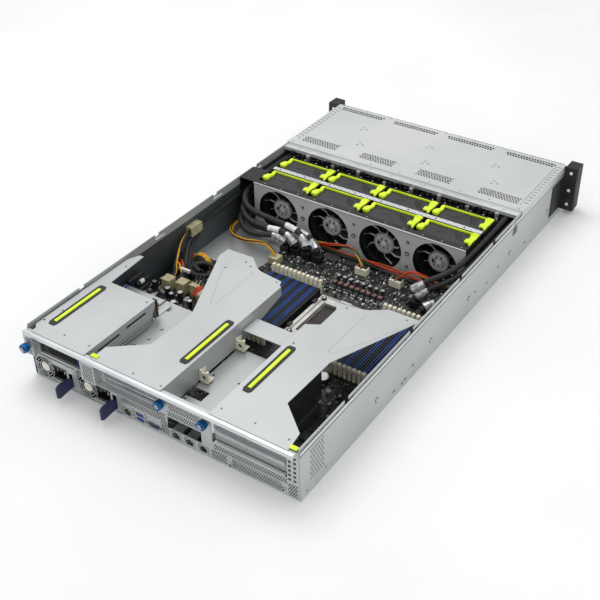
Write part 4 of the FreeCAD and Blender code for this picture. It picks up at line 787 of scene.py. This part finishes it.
# %% Cable helpers
def curve_through(name, points, radius, finish, kind="NURBS", flare=1):
    """A round cable along points in millimetres; flare widens it towards its end."""
    data = bpy.data.curves.new(name, "CURVE")
    data.dimensions = "3D"
    line = data.splines.new(kind)
    line.points.add(len(points) - 1)
    for i, (point, target) in enumerate(zip(points, line.points)):
        target.co = (*(Vector(point) * MM), 1)
        target.radius = 1 + (flare - 1) * i / (len(points) - 1)
    if kind == "NURBS":
        line.order_u = 3
        line.use_endpoint_u = True
        line.resolution_u = 8
    data.bevel_depth = radius * MM
    data.bevel_resolution = 2
    data.use_fill_caps = True
    data.materials.append(finish)
    piece = linked(name, data)
    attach(piece, "chassis")
    return piece


def stretch(route, start, end):
    """The part of a route's curve between two distances from its far end, in millimetres."""
    bare = curve_through("route", route, 0, sleeve)
    path = [v.co / MM for v in evaluated(bare).vertices][::-1]
    bpy.data.objects.remove(bare)
    kept = []
    run = 0
    for a, b in zip(path, path[1:]):
        if start <= run <= end:
            kept.append(a)
        run += (b - a).length
    return kept[::-1]


def offset_route(points, reach, turn, twist):
    """The same route moved aside by a small distance that turns from point to point."""
    moved = []
    for i, point in enumerate(points):
        ahead = Vector(points[min(i + 1, len(points) - 1)]) - Vector(points[max(i - 1, 0)])
        side = ahead.cross(Vector(Z))
        side = side.normalized() if side.length > 0.01 else Vector(X)
        top = side.cross(ahead).normalized()
        angle = turn + twist * i
        moved.append(Vector(point) + (side * cos(angle) + top * sin(angle)) * reach)
    return moved


def wires(name, routes, radius, finishes):
    """One numbered wire along each route; the finishes are used in turn."""
    for i, route in enumerate(routes):
        curve_through("%s_%d" % (name, i + 1), route, radius, finishes[i % len(finishes)])


def wire_bundle(name, points, finishes, radius, reach, twist=0.7):
    """Thin wires twisted along one route, one for each finish."""
    wires(name + "_wire", [offset_route(points, reach, 6.283 / len(finishes) * i, twist)
                           for i in range(len(finishes))], radius, finishes)


def from_wall(*points):
    """A route whose Y is counted backwards from the fan wall."""
    return [(x, y - 78, z) for x, y, z in points]

# %% [markdown]
# Seven thick signal cables run from the drive backplane to the board, four by the left wall and three
# by the right. Each ends in a foil shield wrap. Wraps and labels are short stretches of the same curve,
# so they follow every bend.

# %% Signal cables
BACKPLANE, DUCT, MOUTH = -135.7, -82, -32
routes = [
    from_wall((206, BACKPLANE, 66), (207, DUCT, 67), (206, MOUTH, 66), (202, 12, 60), (176, 32, 52),
              (130, 34, 50), (90, 34, 47), (66, 38, 42), (54, 47, 25)),
    from_wall((205, BACKPLANE, 52), (206, DUCT, 53), (205, MOUTH + 2, 52), (200, 20, 47), (172, 44, 41),
              (134, 48, 40), (106, 45, 43), (88, 45, 38), (74, 47, 25)),
    from_wall((204, BACKPLANE, 38), (205, DUCT, 39), (204, MOUTH + 4, 38), (198, 30, 34), (168, 58, 31),
              (140, 63, 32), (120, 60, 38), (107, 54, 36), (94, 47, 25)),
    from_wall((204, BACKPLANE, 24), (205, DUCT, 25), (204, MOUTH + 2, 24), (199, 4, 23), (176, 28, 21),
              (140, 27, 22), (116, 20, 26), (95, 19, 34), (65, 27, 36), (49, 34, 33), (34, 47, 26)),
    from_wall((-205, BACKPLANE, 64), (-206, DUCT, 65), (-205, MOUTH + 15, 64), (-202, 20, 60), (-188, 46, 52),
              (-168, 62, 44), (-152, 70, 25)),
    from_wall((-205, BACKPLANE, 46), (-206, DUCT, 47), (-205, MOUTH + 15, 46), (-204, 26, 46), (-199, 49, 42),
              (-189, 70, 37), (-172, 92, 26))]
for i, route in enumerate(routes, 1):
    piece = curve_through("signal_cable_%d" % i, route, 4.8, sleeve)
    if i == 1:
        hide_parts("signal_cables")
    curve_through("shield_wrap_%d" % i, stretch(route, 0.5, 26), 5.4, foil, "POLY", flare=1.6)
    if i in (1, 2, 4):
        curve_through("cable_label_%d" % i, stretch(route, 36, 58), 5.1, paper, "POLY")
third = offset_route(routes[4], 11.5, 0.9, 0.02)
curve_through("signal_cable_third_right", third, 4.6, sleeve)
curve_through("shield_wrap_third_right", stretch(third, 0.5, 27), 5.4, foil, "POLY", flare=1.7)
print("signal cables", len(routes) + 1)

# %% [markdown]
# Thin wires run in bundles beside the left wall, to the main board and behind the fans. One route steers
# a bundle, and each wire turns around it by its own angle, as twisted wires do.

# %% Supply and fan wires
wire_bundle("wall_bundle", from_wall(
    (212.4, BACKPLANE, 59), (212.4, DUCT + 10, 59), (212.4, MOUTH + 20, 58), (212.4, 60, 55), (212.4, 100, 54),
    (212.4, 141, 54), (209, 163, 47), (203, 180, 37), (197, 196, 28), (188, 207, 24), (186, 219.3, 24)),
    [wire_black] * 3 + [wire_yellow] + [wire_black] * 2, 1.3, 2.3)
wire_bundle("board_bundle", from_wall(
    (208, BACKPLANE, 13), (208, DUCT + 5, 14), (208, MOUTH + 15, 13), (208, 22, 15), (200, 52, 20),
    (176, 76, 26), (146, 84, 30), (116, 84, 38), (98, 84, 38), (89, 84, 23.2)),
    [wire_yellow, wire_yellow, wire_black, wire_yellow, wire_black], 1.1, 1.9)
fan_colours = [wire_orange, wire_yellow, wire_green, wire_black, wire_orange, wire_red]
wire_bundle("fan_bundle_a", from_wall((58, 8, 16), (40, 14, 22), (16, 16, 30), (-8, 20, 36), (-30, 30, 38),
                                      (-42, 38, 23.2)), fan_colours, 0.75, 2.4, 1.3)
wire_bundle("fan_bundle_b", from_wall((-176, 10, 16), (-158, 18, 24), (-138, 24, 34), (-116, 30, 38),
                                      (-102, 38, 23.2)), fan_colours, 0.75, 2.4, 1.3)
for i, (colour, lift, aside) in enumerate((
        (wire_orange, 15, 0), (wire_red, 17, 2), (wire_green, 14, 4), (wire_orange, 18, 5), (wire_black, 12, 3),
        (wire_black, 12, -2), (wire_black, 13, 6))):
    sway = 6 * sin(i * 1.9)
    curve_through("fan_loom_wire_%d" % (i + 1), from_wall(
        (62, 8, 13), (40, 10 + aside, lift), (5, 13 + aside + sway / 2, lift + 2), (-30, 14 + aside, lift + 3),
        (-70, 13 + sway, lift + 1), (-110, 14 + aside + sway, lift + 2), (-145, 13 + aside, lift),
        (-178, 9, 13)), 1.9 if colour == wire_black else 0.8, colour)

# %% [markdown]
# Over the power board the wires loop freely: a thick cable, three sleeved bunches, loose wires and a
# ribbon. Their points are set from the photo, since no rule describes slack wire.

# %% Loops and loose ends over the power board
curve_through("looped_black_cable", [
    (186, 88, 22), (178, 104, 24), (166, 118, 26), (150, 120, 27), (137, 110, 26), (136, 94, 25), (148, 84, 25),
    (164, 86, 27), (172, 98, 29), (166, 110, 31), (152, 112, 30)], 4, sleeve)
wires("power_sleeve", [
    [(211, 40 + s, 38 + lift), (208, 58 + s, 38 + lift), (198, 78 + s, 34 + lift), (186, 96 + s, 30 + lift),
     (178, 112 + s, 24), (172, 124 + s, 14)] for s, lift in ((0, 0), (8, 5), (15, -3))], 3.4, [sleeve])
wires("spare_wire", [
    [(206, 92 + i * 3, 16), (198 + sway, 98 + i * 3, 30), (188, 108 + i * 2.4, 33 + sway),
     (178, 118 + i * 2, 26), (170, 126 + i, 12)]
    for i, sway in enumerate(2.2 * sin(n * 2.1) for n in range(6))], 1.1,
    [wire_black, wire_orange, wire_black, wire_red, wire_yellow, wire_black])
wires("loop_yellow_wire", [
    [(198, 74 + s, 14), (188, 76 + s, 30), (174, 77 + s, 34), (162, 80 + s, 30), (154, 84 + s, 20)]
    for s in (-3, 0, 3)], 1.1, [wire_yellow])
wires("ribbon_wire", [
    [(122 + i * 1.9, 160, 24), (121 + i * 1.9, 154, 33), (119 + i * 1.9, 145, 33), (117 + i * 1.9, 138, 22),
     (116 + i * 1.9, 134, 11)] for i in range(5)], 0.95, [wire_red, wire_orange])
wires("socket_black_wire", [[(x, 140, 29), (x - 2, 134, 36), (x + 6, 122, 33), (x + 20, 112, 20)]
                            for x in (131, 137, 143)], 1.4, [wire_black])
tubes = bmesh.new()
for x, y0, y1, z in ((207, 168, 196, 34), (205, 172, 204, 24), (211, 176, 208, 44)):
    rod(tubes, (x, (y0 + y1) / 2, z), Y, 3.4, y1 - y0, 18)
rod(tubes, (207, 184, 34), Y, 3.8, 8, 18, 1)
block(tubes, (166, 118, 26), (188, 122, 31), 1)
block(tubes, (195, 75, 24), (203, 83, 30), 2)
rod(tubes, (208, 214, 40), Y, 2.6, 8, 14, 3)
place_piece("power_board_sleeves", tubes, [wire_black, paper, wire_red, port_blue], 0.4)

# %% [markdown]
# The main board. Between its large parts a real board is packed with hundreds of chips, resistors and
# small capacitors. They are plain little blocks, placed by a seeded random choice that stays clear of
# the larger parts, so that each has only a few faces.

# %% Small board parts
BOARD_TOP = 9.6
random.seed(12)
busy = []
for node in ("board_parts", "connectors", "dimm_sockets", "dimm_latches_front", "dimm_latches_rear",
             "cpu_socket", "slot_tray", "power_board"):
    shape = copied(node)
    busy += [(low.x - 1, low.y - 1, high.x + 1, high.y + 1) for part, low, high in parts_of(shape)
             if high.z > 10.5 and low.z < 14]


def scatter(shape, area, count, sizes, height, finish, pitch):
    """Drops small blocks on a board, on a coarse grid as a placing machine does, clear of the larger parts."""
    made = 0
    for _ in range(count * 3):
        if made >= count:
            break
        x = round(random.uniform(area[0], area[2]) / pitch) * pitch
        y = round(random.uniform(area[1], area[3]) / pitch) * pitch
        w, d = random.choice(sizes)
        if random.random() < 0.5:
            w, d = d, w
        x0, y0, x1, y1 = x - w / 2, y - d / 2, x + w / 2, y + d / 2
        if any(x0 < b[2] and x1 > b[0] and y0 < b[3] and y1 > b[1] for b in busy):
            continue
        block(shape, (x0, y0, BOARD_TOP - 0.1), (x1, y1, BOARD_TOP + height * random.uniform(0.7, 1.2)), finish)
        made += 1
    return made


# Each row: how many parts, their sizes, their height, their finish and the pitch of the grid.
MAIN_PARTS = (
    (150, [(3, 2), (2, 1.2), (4, 3)], 1.4, 0, 2), (190, [(2, 1.2), (1.6, 0.8)], 0.9, 1, 1),
    (170, [(1.6, 1), (1.2, 0.7)], 0.7, 2, 1), (26, [(9, 9), (7, 5), (12, 6)], 1.6, 0, 4),
    (34, [(4, 4), (5, 3)], 3.2, 5, 3), (20, [(3, 3), (5, 2.2)], 4, 3, 3))
POWER_PARTS = ((150, [(3, 2), (2, 1.2), (5, 4)], 2.2, 0, 2), (90, [(2, 1.2), (2.4, 1.6)], 1.4, 1, 2),
               (60, [(4, 4), (6, 3)], 4.2, 3, 3))
parts = bmesh.new()
total = 0
for area, share, runs in (((-212, -64, 98, 36), 1, MAIN_PARTS), ((-212, 188, -90, 386), 0.7, MAIN_PARTS),
                          ((-88, 198, 54, 386), 0.5, MAIN_PARTS), ((104, 57, 213, 206), 1, POWER_PARTS)):
    for count, *rest in runs:
        total += scatter(parts, area, int(count * share), *rest)
place_piece("small_board_parts", parts, [chip_resin, ceramic, can_silver, socket_plate, ivory, coil_core])
crowd = bmesh.new()
for _ in range(420):
    x = round(random.uniform(-206, 100) / 1.5) * 1.5
    y = round(random.uniform(-66, 34) / 1.5) * 1.5
    long, short = random.choice(((1.6, 0.9), (2.2, 1.3), (3, 1.6), (1.2, 0.8), (3.6, 2.4)))
    w, d = (long, short) if random.random() < 0.5 else (short, long)
    block(crowd, (x - w / 2, y - d / 2, 9.5), (x + w / 2, y + d / 2, BOARD_TOP + random.uniform(0.4, 1.6)),
          random.choice((0, 1, 1, 2, 2, 3, 4, 4)))
place_piece("tiny_board_parts", crowd, [chip_resin, ceramic, can_silver, ivory, white_nylon])
print("small board parts", total)

# %% [markdown]
# Chips on the drive backplane, pale screws in the rack ears, and round capacitors with bright tops on
# the power board. Each group is one mesh, because its parts never move apart.

# %% Fittings on the backplane, ears and power board
fittings = bmesh.new()
for i in range(40):
    x = -196 + i * 10
    block(fittings, (x, -211.5, 62 + (i * 7) % 5), (x + 6, -204, 74 + (i * 5) % 7), (0, 2, 0, 0, 0)[i % 5])
    if i % 3 == 0:
        rod(fittings, (x + 3, -196, 66), Z, 2.2, 8, 10, 1)
for i in range(18):
    rod(fittings, (-190 + i * 22, -190, 79), Z, 1.4, 1, 8, 1)
place_piece("backplane_fittings", fittings, [chip_resin, port_tin, socket_plate], 0.2, 1)
ear_screws = bmesh.new()
for side in (-1, 1):
    for z in (18, 44, 76):
        rod(ear_screws, (side * 231, -390.3, z), Y, 2.8, 1.8, 16)
place_piece("ear_screws", ear_screws, [white_nylon], 0.2, 1)
fill = bmesh.new()
for x, y, h, r in ((150, 165, 15, 4.5), (161, 172, 13, 4), (173, 166, 15, 4.5), (146, 186, 12, 5),
                   (196, 150, 14, 4.5), (204, 160, 12, 4), (128, 170, 11, 4), (180, 190, 14, 5),
                   (166, 195, 12, 4.5), (200, 188, 11, 4), (190, 112, 12, 4.5), (178, 105, 13, 4),
                   (130, 196, 12, 4)):
    rod(fill, (x, y, BOARD_TOP + h / 2), Z, r, h, 18)
    rod(fill, (x, y, BOARD_TOP + 0.1 + h), Z, r - 0.6, 0.4, 18, 1)
for i in range(14):
    block(fill, (120 + i * 4.2, 200, BOARD_TOP), (122.4 + i * 4.2, 203, 18 + (i % 3)), 2 if i % 4 else 1)
place_piece("power_board_cans", fill, [chip_resin, can_silver, ivory], 0.3)

# %% [markdown]
# The board's larger parts are in the CAD and are told apart by size: rings and capacitor tops are bright,
# coils are grey ferrite. The coin cell, red coil caps and small cans are added as rods and blocks.

# %% Coils, capacitors, battery and rings
shape = copied("board_parts")
for part, low, high in parts_of(shape):
    size = high - low
    ring = abs(size.x - 6.8) < 0.4 and size.z < 6
    for face in {f for v in part for f in v.link_faces}:
        face.material_index = 1 if ring or abs(size.x - 6.3) < 0.3 and face.normal.z > 0.5 else 0
dress("board_parts", [coil_core, can_silver], bevel_mm=0.4, segments=2, shape=shape)
battery = bmesh.new()
x, y = -126, 203
rod(battery, (x, y, 15.2), Z, 8.8, 0.8, 32)
block(battery, (x - 11, y - 5, BOARD_TOP), (x + 11, y + 5, 13.8), 1)
place_piece("battery_cell", battery, [battery_steel, black_nylon_and_painted_shade], 0.3)
pins = bmesh.new()
for i in range(9):
    rod(pins, (-23 - i * 9.8, 8, 17.7), Z, 2.9, 0.4, 12)
    block(pins, (-26.4 - i * 9.8, 12.1, BOARD_TOP), (-19.6 - i * 9.8, 12.8, 12), 1)
for i in range(22):
    rod(pins, (-18 - i * 4.2, 20.5, 11.3), Z, 1.5, 3.6, 8, 1 if i % 3 else 2)
place_piece("coil_caps_and_cans", pins, [coil_red, can_silver, chip_resin], 0.1, 1)

# %% [markdown]
# The processor socket: a nickel-plated frame around a dark field of contacts, with a bronze shield over
# part of it, black corner fittings with their screws, and a wire lever along the front edge.

# %% Processor socket
dress("cpu_socket", [socket_plate, chip_resin], lambda c, n: 1 if c.z < 13 and n.z > 0.5 else 0, bevel_mm=0.3)
socket = bmesh.new()
block(socket, (-97, 86, 12.6), (-78, 129, 13.6))
block(socket, (-78, 101, 12.6), (-62, 129, 13.4))
for x in (-103, -35):
    for y in (57, 149):
        rod(socket, (x, y, 19.6), Z, 4.2, 2.4, 20, 1)
        rod(socket, (x, y, 20.9), Z, 2.4, 0.5, 6, 2)
for x in (-111, -27):
    for y in (70, 136):
        block(socket, (x - 2.5, y - 5, 12), (x + 2.5, y + 5, 21), 1)
rod(socket, (-69, 51.5, 19.6), X, 0.9, 62, 10, 2)
rod(socket, (-33, 100, 19.8), Y, 0.9, 84, 10, 2)
block(socket, (-78, 48, 12), (-60, 53, 20), 2)
for i in range(12):
    block(socket, (-40.6, 68 + i * 5.6, 12.5), (-39.6, 71.5 + i * 5.6, 13.3), 2)
place_piece("socket_fittings", socket, [bronze, black_nylon_and_painted_shade, socket_plate], 0.25)
contacts = bmesh.new()
for i in range(23):
    for j in range(13):
        block(contacts, (-96 + j * 4.4, 68 + i * 3.1, 12.5), (-94 + j * 4.4, 69.4 + i * 3.1, 12.8))
place_piece("socket_contacts", contacts, [bronze])

# %% [markdown]
# Everything that is plain and right in shape in the frame keeps its mesh and gets a finish. The other
# nodes get a copy with painted parts, and small fittings that the CAD leaves out.

# %% Finishes on the frame's own nodes
# The drive cage is given the painted-shade finish all over.
for finish, names in ((zinc, ("psu_cage", "slot_tray")), (deep_painted_shade, ("drive_cage",)),
                      (board_black, ("drive_backplane", "motherboard")), (port_blue, ("power_button",))):
    for node in names:
        materials = frame["nodes"][node].data.materials
        materials.clear()
        materials.append(finish)
dress("rack_ears", [black_coat_and_painted_shade], bevel_mm=0.6, segments=2)

# %% [markdown]
# Three captive screws close the rear. On the real one a wheel rolls the knurl into the aluminium. Here
# thin rods around the head give the same ridges for few faces.

# %% Captive screws
# The black bar across each centre screw is painted shade in its slot.
for number, x, face in ((1, 210, 406), (2, -13, 396), (3, -81, 396)):
    node = "thumbscrew_%d" % number
    dress(node, [blue_anodised], bevel_mm=0.4)
    knurl = bmesh.new()
    for i in range(24):
        angle = radians(15 * i)
        rod(knurl, (6.2 * cos(angle), 7.3, 6.2 * sin(angle)), Y, 0.5, 5.6, 6)
    rod(knurl, (0, 10.9, 0), Y, 3, 0.7, 20, 1)
    block(knurl, (-2.4, 11, -0.5), (2.4, 11.4, 0.5), 2)
    rod(knurl, (0, 1.3, 0), Y, 5.6, 1.8, 24, 1)
    shift(knurl, x, face, 59)
    place_piece(node + "_knurl", knurl, [blue_anodised, port_tin, black_coat_and_painted_shade], 0.15, 1, body_of[node])

# %% [markdown]
# Each supply shows a wire guard over its exhaust and a black inlet with three pins. The guard's rings
# are short straight rods, end to end, which look round at this size and need no curve.

# %% Power supplies
# The rear-facing faces of each supply are painted shade.
for number, x0 in ((1, 140), (2, 62)):
    node = "psu_%d" % number
    dress(node, [zinc, black_abs_and_painted_shade, deep_painted_shade],
          lambda c, n: 2 if c.y > 395.5 and n.y > 0.5 else 1 if 380 < c.y < 394.8 and c.z > 3 else 0)
    guard = bmesh.new()
    rod(guard, (56.5, 394.6, 21.5), Y, 8.8, 0.6, 32, 2)
    rod(guard, (56.5, 394.9, 21.5), Y, 7.2, 0.8, 32, 1)
    for i in range(6):
        angle = radians(60 * i + 15)
        spoke = rod(guard, (0, 0, 0), X, 0.7, 9, 8)
        bmesh.ops.rotate(guard, verts=spoke, cent=(0, 0, 0), matrix=Matrix.Rotation(-angle, 3, "Y"))
        shift(guard, 56.5 + 12.6 * cos(angle), 395.6, 21.5 + 12.6 * sin(angle), spoke)
    for radius in (9.4, 13.4, 17.2):
        ring = [Vector((56.5 + radius * cos(radians(15 * i)), 395.9,
                        21.5 + radius * sin(radians(15 * i)))) for i in range(25)]
        for a, b in zip(ring, ring[1:]):
            rod(guard, (a + b) / 2, b - a, 0.65, (b - a).length + 0.4, 6)
    for low, high in (((0.3, 395.7, 1.8), (73.2, 396.3, 3.2)), ((0.3, 395.7, 39.8), (73.2, 396.3, 41.2)),
                      ((71.6, 395.7, 1.8), (73.2, 396.3, 41.2))):
        block(guard, low, high)
    for x, z in ((40.5, 8.5), (46.5, 38), (70, 38), (70, 5), (44, 5)):
        rod(guard, (x, 396.2, z), Y, 1.5, 0.6, 12)
    for x, z in ((24, 22), (30.5, 25.5), (37, 22)):
        block(guard, (x - 1, 384, z - 2.4), (x + 1, 392, z + 2.4))
    for z in (10.6, 31.4):
        block(guard, (16, 395.6, z - 1.4), (45, 396.4, z + 0.2), 2)
    shift(guard, x0, 0, 0)
    place_piece(node + "_guard", guard, [port_tin, white_nylon, black_abs_and_painted_shade], 0.1, 1, body_of[node])
for number in (1, 2):
    dress("psu_latch_%d" % number, [navy], bevel_mm=0.6, segments=2)

# %% [markdown]
# The ports' shells are in the CAD. Contacts, tongues, lamps and jack screws are added as blocks and
# rods, and raised rails frame the slot covers.

# %% Ports and slot covers
dress("io_ports", [port_tin, black_abs_and_painted_shade, port_blue], lambda c, n: 1 if c.y < 393.5 and c.z > 4 and n.y > 0.5 else
      2 if -4 < c.x < 16 and n.y > 0.5 else 0)
ports = bmesh.new()
for z in (7.2, 14.7):
    block(ports, (25, 392.4, z), (34.5, 396, z + 1.8), 1)
for i in range(3):
    for j in range(5):
        rod(ports, (0.8 + j * 2.6 + (1.3 if i == 1 else 0), 393, 6.4 + i * 1.9), Y, 0.45, 2, 8)
for x in (-5.2, 17.2):
    rod(ports, (x, 397.2, 8.5), Y, 2, 2.6, 6)
for x0 in (-81.5, -59.5, -37.5, 44):
    for i in range(8):
        block(ports, (x0 + 3.2 + i * 1.15, 392.5, 10.4), (x0 + 3.6 + i * 1.15, 395.2, 11.6), 2)
    block(ports, (x0 + 1, 396.4, 13.4), (x0 + 3, 396.9, 14.8), 3)
    block(ports, (x0 + 12.5, 396.4, 13.4), (x0 + 14.5, 396.9, 14.8), 2)
place_piece("port_contacts", ports, [port_tin, port_blue, bronze, wire_green], 0.1, 1)
# The rails are the brighter zinc as painted highlight; the thin dark lines by a fold are painted shade, and so
# are the black disc in the round hole and the black notch.
rails = bmesh.new()
for x0, x1, levels in ((-3, 88, (46.2, 54.6)), (-197, -92, (30.8, 48.2, 50.6))):
    for z in levels:
        block(rails, (x0, 391, z), (x1, 395.4, z + 1.3))
block(rails, (-120.5, 396, 2.6), (-119.9, 396.5, 17.6), 1)
block(rails, (-192, 396, 17.6), (-119.9, 396.5, 18.1), 1)
rod(rails, (-195, 396.2, 8), Y, 2.9, 0.8, 20)
rod(rails, (-195, 396.4, 8), Y, 2, 0.8, 20, 2)
block(rails, (-116.4, 396, 2.8), (-114.4, 396.4, 6.4), 2)
place_piece("slot_cover_rails", rails, [bright_zinc_and_painted_highlight, zinc_painted_shade, black_coat_and_painted_shade], 0.2)

# %% [markdown]
# Memory sockets alternate between blue and black nylon, with painted shade in the slot along the middle.
# Each node is painted by a rule on where its parts or faces lie, which needs no picture of the colours.

# %% Connectors, memory sockets and drives
dress("power_board", [board_black, chip_resin], lambda c, n: 1 if c.z > 9.8 else 0)
shape = paint_parts(copied("connectors"), lambda low, high: 1 if high.z < 22.5 and (
    high.y < -20 and low.x > 20 or high.x < -140) else 2 if low.y < -30 else 0)
dress("connectors", [beige_nylon, black_nylon_and_painted_shade, ivory], bevel_mm=0.3, shape=shape)
gaps = bmesh.new()
for x in (-42, -102):
    block(gaps, (x - 1.3, -47.4, 9.7), (x + 1.3, -34.7, 22.2))
    for i in (-1, 1):
        block(gaps, (x + i * 5.4 - 3.2, -45.6, 21.2), (x + i * 5.4 + 3.2, -37.4, 22.2), 1)
place_piece("header_gaps", gaps, [board_black, black_nylon_and_painted_shade], 0.1, 1)
dress("dimm_latches_front", [ivory], bevel_mm=0.3)
dress("dimm_latches_rear", [ivory], bevel_mm=0.3)
# The walls and floor of each socket's slot are painted shade.
shape = copied("dimm_sockets")
for part, low, high in parts_of(shape):
    middle = (low.x + high.x) / 2
    colour = round((middle + 203.4) / 7.62) % 2
    for face in {f for v in part for f in v.link_faces}:
        centre = face.calc_center_median() / MM
        slot = abs(centre.x - middle) < 1 and low.z + 1 < centre.z < high.z - 0.1
        face.material_index = 2 if slot else colour
dress("dimm_sockets", [blue_nylon, black_nylon_and_painted_shade, deep_painted_shade], shape=shape)
# Behind its front face each drive carrier is painted shade, and so is the rear carrier's long body.
for number in range(1, 13):
    dress("drive_carrier_%d" % number, [black_abs_and_painted_shade, deep_painted_shade], lambda c, n: 1 if c.y > -394.9 else 0,
          bevel_mm=0.3)
shape = paint_parts(copied("rear_drive_carrier"),
                    lambda low, high: 1 if (high - low).x < 12 else 2 if (high - low).y > 60 else 0)
dress("rear_drive_carrier", [black_abs_and_painted_shade, port_blue, deep_painted_shade], shape=shape)
latch = bmesh.new()
block(latch, (119.6, 393.8, 50), (128.6, 395.6, 70.5))
block(latch, (120.6, 395.4, 52), (127.6, 396, 55), 1)
place_piece("rear_drive_latch", latch, [port_blue, black_abs_and_painted_shade], 0.4, 2, body_of["rear_drive_carrier"])
